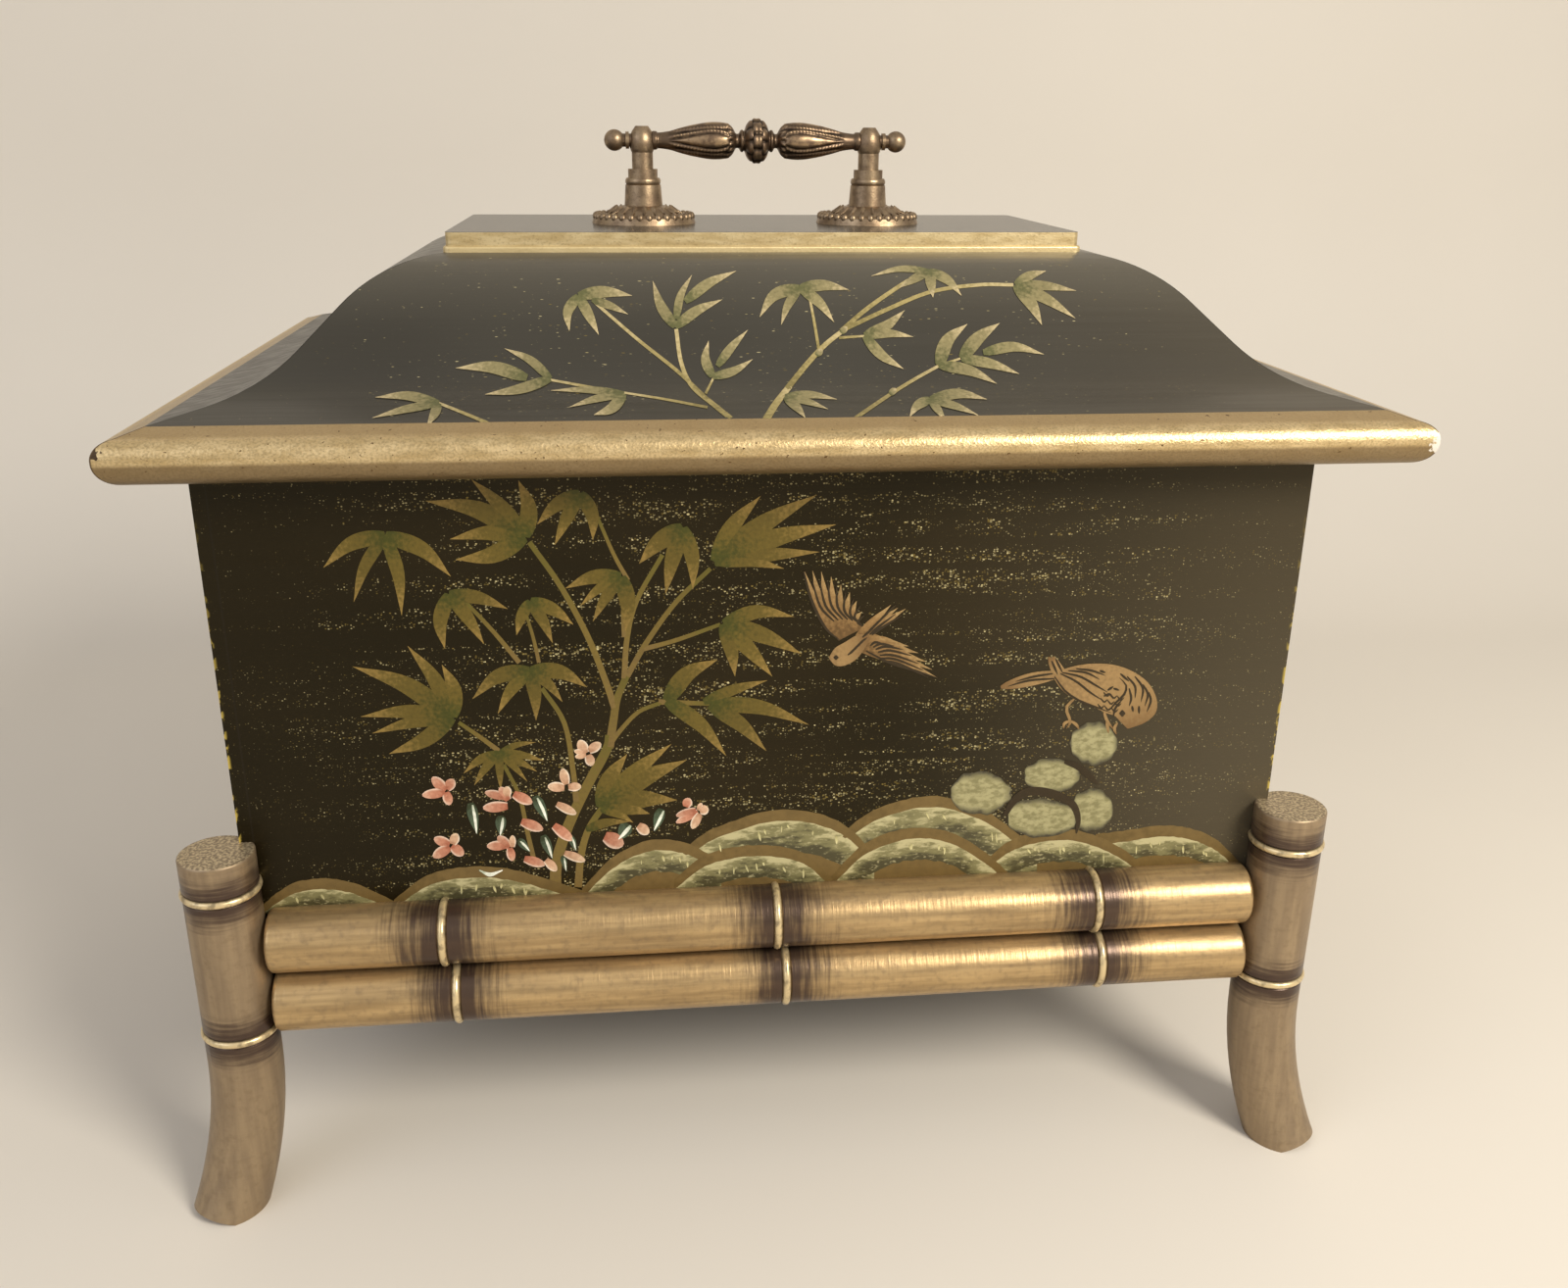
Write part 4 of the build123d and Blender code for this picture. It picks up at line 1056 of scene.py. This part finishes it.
# %% [markdown]
# ## Blossom
# Salmon petals are fat single dabs, each loaded with white on one side of the brush. Small
# teal leaves with a white streak fall among them.

# %% Petals and small leaves
SALMON_DABS = (
    ((455, 806), (441, 793), 11), ((456, 805), (463, 795), 11), ((454, 808), (431, 811), 10),
    ((455, 808), (459, 821), 10), ((516, 813), (495, 808), 9), ((518, 822), (493, 824), 11),
    ((524, 810), (543, 819), 11), ((519, 816), (510, 803), 10), ((459, 861), (443, 855), 10),
    ((459, 864), (442, 874), 11), ((461, 863), (473, 872), 11), ((517, 862), (497, 863), 10),
    ((520, 864), (508, 853), 10), ((520, 865), (523, 878), 9), ((532, 838), (554, 846), 11),
    ((565, 842), (584, 857), 11), ((535, 876), (556, 882), 10), ((700, 823), (703, 814), 10),
    ((710, 826), (690, 832), 8), ((712, 828), (690, 839), 8), ((617, 853), (636, 862), 16),
)
PALE_DABS = (
    ((598, 768), (591, 755), 11), ((601, 766), (613, 758), 10), ((598, 768), (586, 766), 6),
    ((598, 770), (587, 772), 6), ((600, 770), (604, 781), 10), ((578, 800), (574, 784), 10),
    ((576, 803), (559, 802), 10), ((580, 803), (593, 802), 9), ((518, 812), (517, 802), 9),
    ((462, 861), (466, 850), 10), ((523, 864), (523, 852), 7), ((568, 820), (588, 830), 9),
    ((576, 870), (597, 878), 9), ((557, 877), (568, 888), 9), ((651, 842), (662, 850), 11),
    ((714, 827), (723, 825), 10), ((714, 830), (706, 845), 9), ((712, 826), (716, 819), 5),
)
for name, lift, dabs, material in (("petals", 0.15, SALMON_DABS, blossom),
                                   ("pale_petals", 0.17, PALE_DABS, pale_blossom)):
    petals = Paint(name, "box_front", lift)
    for start, tip, width in dabs:
        petals.stroke([start, tip], width, petal_shape, 9)
    petals.finish(material, "chest")

small = Paint("teal_leaves", "box_front", 0.12)
glints = Paint("teal_leaf_glints", "box_front", 0.20)
for start, tip, width in (
    ((480, 819), (487, 851), 11), ((511, 832), (511, 853), 11), ((546, 812), (559, 838), 11),
    ((529, 856), (541, 869), 8), ((554, 852), (564, 876), 10), ((582, 852), (588, 868), 7),
    ((675, 825), (668, 848), 11), ((641, 840), (632, 857), 14), ((574, 873), (578, 889), 6),
):
    small.stroke([start, tip], width, leaf_shape, 10)
    shift = width * 0.12
    glints.stroke([(start[0] + shift + 1, start[1] + 2),
                   ((start[0] + tip[0]) / 2 + shift, (start[1] + tip[1]) / 2),
                   (tip[0] - shift * 0.5, tip[1] - 1)], width * 0.28, line_shape, 9)
glints.patch([(489, 887), (500, 890), (513, 887)], [(489, 888), (500, 894), (513, 888)],
             10, 0, 3)
small.finish(teal, "chest")
glints.finish(white, "chest")

# %% [markdown]
# ## The cast handle
# The bar is one casting turned and chased: a round knot of petals in the middle, a baluster
# on each side with teardrop panels, and a thin neck through each post. A lathe shape is a
# profile spun round the bar's axis, so the profile is extruded point by point and spun. The
# chasing is then a small push in or out of each vertex, by its place along and round the bar.
# How far it was pushed is kept in the UV map, so that hollows can be dark and crests bright.

# %% Spin the bar
# the bar's height, and the least gap between rows of its profile, in millimetres
BAR_Z, ROW_GAP = 319.664, 0.25
bar_low, bar_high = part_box("handle_spindle")
BAR_HALF = (bar_high.x - bar_low.x) / 2 / MM
# pairs of place along the bar from its middle and radius
PROFILE = ((0.0, 6.7), (1.3, 6.8), (2.5, 6.1), (3.4, 4.9), (3.9, 3.6), (4.3, 3.1), (4.6, 3.5),
           (5.2, 3.5), (5.6, 3.0), (6.0, 2.35), (6.8, 2.3), (7.2, 2.8), (7.8, 3.8),
           (9.0, 4.7), (11.0, 5.25), (13.5, 5.45), (16.0, 5.35), (18.5, 5.0), (21.5, 4.45),
           (24.5, 3.85), (27.5, 3.25), (30.0, 2.8), (32.0, 2.55), (33.0, 2.55), (33.3, 2.9),
           (34.7, 2.9), (35.0, 2.2), (36.0, 2.1), (BAR_HALF, 2.1))
curve = []
for p in smooth(PROFILE, 900):
    if not curve or math.dist(curve[-1], (p.x, p.y)) > ROW_GAP:
        curve.append((p.x, p.y))
points = [(-x, r) for x, r in reversed(curve[1:])] + curve
points = [(points[0][0], 0.0)] + points + [(points[-1][0], 0.0)]


def on_bar(x, r):
    """a place x along the bar and r above its axis"""
    return Vector(((LID_X + x) * MM, 0.0, (BAR_Z + r) * MM))


bpy.ops.object.select_all(action="DESELECT")
bpy.ops.mesh.primitive_plane_add(size=0.2 * MM, location=on_bar(*points[0]))
bar = bpy.context.object
bar.name = "chased_bar"
bpy.ops.object.mode_set(mode="EDIT")
bpy.ops.mesh.select_mode(type="VERT")
bpy.ops.mesh.merge(type="CENTER")
for start, end in zip(points, points[1:]):
    step = on_bar(*end) - on_bar(*start)
    bpy.ops.mesh.extrude_vertices_move(TRANSFORM_OT_translate={"value": step})
bpy.ops.mesh.select_all(action="SELECT")
bpy.ops.mesh.spin(steps=80, angle=2 * math.pi, center=(LID_X * MM, 0.0, BAR_Z * MM),
                  axis=(1.0, 0.0, 0.0))
bpy.ops.mesh.select_all(action="SELECT")
bpy.ops.mesh.remove_doubles(threshold=0.004 * MM)
bpy.ops.mesh.normals_make_consistent(inside=False)
bpy.ops.object.mode_set(mode="OBJECT")
bpy.ops.object.transform_apply(location=True, rotation=True, scale=True)
print("the bar has", len(bar.data.vertices), "vertices")


# %% Chase the bar
# where the knot ends, and where the baluster starts and ends, from the middle in millimetres
KNOT_END, BALUSTER_START, BALUSTER_END = 4.1, 7.9, 31.6


def bell(x, width):
    """1 at nought, falling to both sides"""
    return math.exp(-(x / width) ** 2)


def chasing(along, angle, radius):
    """how far the surface is pushed out, in mm, at a place along and round the bar"""
    s = abs(along)
    if s < KNOT_END:
        petal = abs(math.cos(4 * angle + (0.0 if s < 1.5 else 0.5 * math.pi)))
        fade = math.cos(0.5 * math.pi * s / KNOT_END) ** 0.4
        return (1.0 * petal ** 0.6 - 0.65) * fade - 0.35 * bell(s - 1.5, 0.35)
    if BALUSTER_START < s < BALUSTER_END:
        a = (angle + math.pi / 4) % (math.pi / 2) - math.pi / 4
        u = min(max((s - 9.0) / 20.5, 0.0), 1.0)
        half = 0.46 * math.sin(math.pi * u ** 0.55) ** 0.7 if 0 < u < 1 else 0.0
        edge = (abs(a) - half) * radius
        firm = min(1.0, half * 6)
        made = -0.32 * bell(edge, 0.42) * firm
        rope = 0.34 + 0.14 * math.cos(2 * math.pi * s / 1.1)
        made += rope * bell(edge - 0.95, 0.42) * firm - 0.30 * bell(edge - 1.9, 0.40) * firm
        if half > 0 and abs(a) < half:
            made += 0.45 * (1 - (abs(a) / half) ** 2) ** 0.5 * min(1.0, half * 3)
        made += 0.34 * math.cos(14 * angle) * bell(s - 8.9, 1.1)
        return made
    return 0.0


axis_point = Vector((LID_X * MM, 0.0, BAR_Z * MM))
pushes = []
for vert in bar.data.vertices:
    away = vert.co - axis_point
    along, away.x = away.x / MM, 0.0
    radius = away.length / MM
    push = 0.0
    if radius > 1.5:
        push = chasing(along, math.atan2(away.y, away.z), radius)
        vert.co += away.normalized() * push * MM
    pushes.append(push)
relief = bar.data.uv_layers.new(name="relief")
for loop in bar.data.loops:
    relief.data[loop.index].uv = (0.5 + pushes[loop.vertex_index], 0.5)
bar.data.update()
bpy.ops.object.select_all(action="DESELECT")
bar.select_set(True)
bpy.context.view_layer.objects.active = bar
bpy.ops.object.shade_smooth()

chased, tree, shader, place = start_material("chased and rubbed brass")
relief_uv = add(tree, "UVMap", uv_map="relief")
height = add(tree, "SeparateXYZ", relief_uv).node.outputs["X"]
patina = stretched(tree, place, (2.4, 2.4, 2.4), 4.0, 7.1)
colour = add(tree, "Mix", add(tree, "MapRange", height, 0.22, 0.66), "#2a211a", "#735f4c")
colour = add(tree, "Mix",
             add(tree, "Math", add(tree, "MapRange", height, 0.62, 0.90),
                 add(tree, "MapRange", patina, 0.35, 0.6), operation="MULTIPLY"), colour,
             "#a98f6f")
colour = add(tree, "Mix", add(tree, "MapRange", patina, 0.35, 0.75, 0.0, 0.35), colour,
             "#957d61")
feed(tree, shader,
     {"Base Color": colour, "Metallic": 0.88,
      "Roughness": add(tree, "MapRange", patina, 0.2, 0.8, 0.42, 0.32)})
feed(tree, shader,
     {"Normal": add(tree, "Bump", {"Height": patina, "Distance": 0.08 * MM, "Strength": 0.4})})
bar.data.materials.append(chased)
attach(bar, "lid")
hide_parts("handle_spindle")
print("chased", sum(abs(p) > 0.05 for p in pushes), "vertices")

# %% [markdown]
# ## Beads and rays on the rosettes
# A ring of cast beads edges each rosette, with small pointed rays inside it. One bead is made
# from a sphere, pulled a little up, and then copied round the rosette in edit mode. A ray is a
# four-sided cone laid on the dome.

# %% Beads and rays
# the posts stand this far beside the lid's middle, on rosettes at this height, in millimetres
POST_OUT, PLATE_TOP = 38.1, 293.464
# how many there are, how far from the rosette's middle and how high above its foot
BEADS, BEAD_OUT, BEAD_UP = 34, 15.95, 2.15
RAYS, RAY_OUT, RAY_UP = 20, 11.0, 3.9
BEAD_RADIUS, RAY_LENGTH, RAY_LEAN = 1.28, 4.6, math.radians(113)


def round_copies(count, centre):
    """turns copies of what is selected round an upright axis"""
    for _ in range(count - 1):
        bpy.ops.mesh.duplicate()
        bpy.ops.transform.rotate(value=2 * math.pi / count, orient_axis="Z",
                                 center_override=centre)


for side, post_x in (("left", LID_X - POST_OUT), ("right", LID_X + POST_OUT)):
    centre = (post_x * MM, 0.0, PLATE_TOP * MM)
    bead_at = ((post_x + BEAD_OUT) * MM, 0.0, (PLATE_TOP + BEAD_UP) * MM)
    ray_at = ((post_x + RAY_OUT) * MM, 0.0, (PLATE_TOP + RAY_UP) * MM)
    bpy.ops.object.select_all(action="DESELECT")
    bpy.ops.mesh.primitive_uv_sphere_add(segments=10, ring_count=7, radius=BEAD_RADIUS * MM,
                                         location=bead_at)
    beads = bpy.context.object
    beads.name = f"rosette_beads_{side}"
    bpy.ops.object.mode_set(mode="EDIT")
    bpy.ops.transform.resize(value=(1.0, 1.0, 1.15), center_override=bead_at)
    round_copies(BEADS, centre)
    bpy.ops.object.mode_set(mode="OBJECT")
    bpy.ops.object.transform_apply(location=True, rotation=True, scale=True)
    bpy.ops.object.shade_smooth()

    bpy.ops.object.select_all(action="DESELECT")
    bpy.ops.mesh.primitive_cone_add(
        vertices=4, radius1=1.15 * MM, radius2=0.12 * MM, depth=RAY_LENGTH * MM,
        location=ray_at, rotation=(0.0, RAY_LEAN, 0.0))
    rays = bpy.context.object
    rays.name = f"rosette_rays_{side}"
    bpy.ops.object.transform_apply(location=True, rotation=True, scale=True)
    bpy.ops.object.mode_set(mode="EDIT")
    bpy.ops.mesh.select_all(action="SELECT")
    bpy.ops.mesh.bevel(offset=0.15 * MM, segments=2, affect="EDGES")
    bpy.ops.mesh.select_all(action="SELECT")
    round_copies(RAYS, centre)
    bpy.ops.object.mode_set(mode="OBJECT")
    for piece in (beads, rays):
        piece.data.materials.append(brass)
        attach(piece, "lid")
    print(beads.name, len(beads.data.polygons), "faces;", rays.name,
          len(rays.data.polygons), "faces")
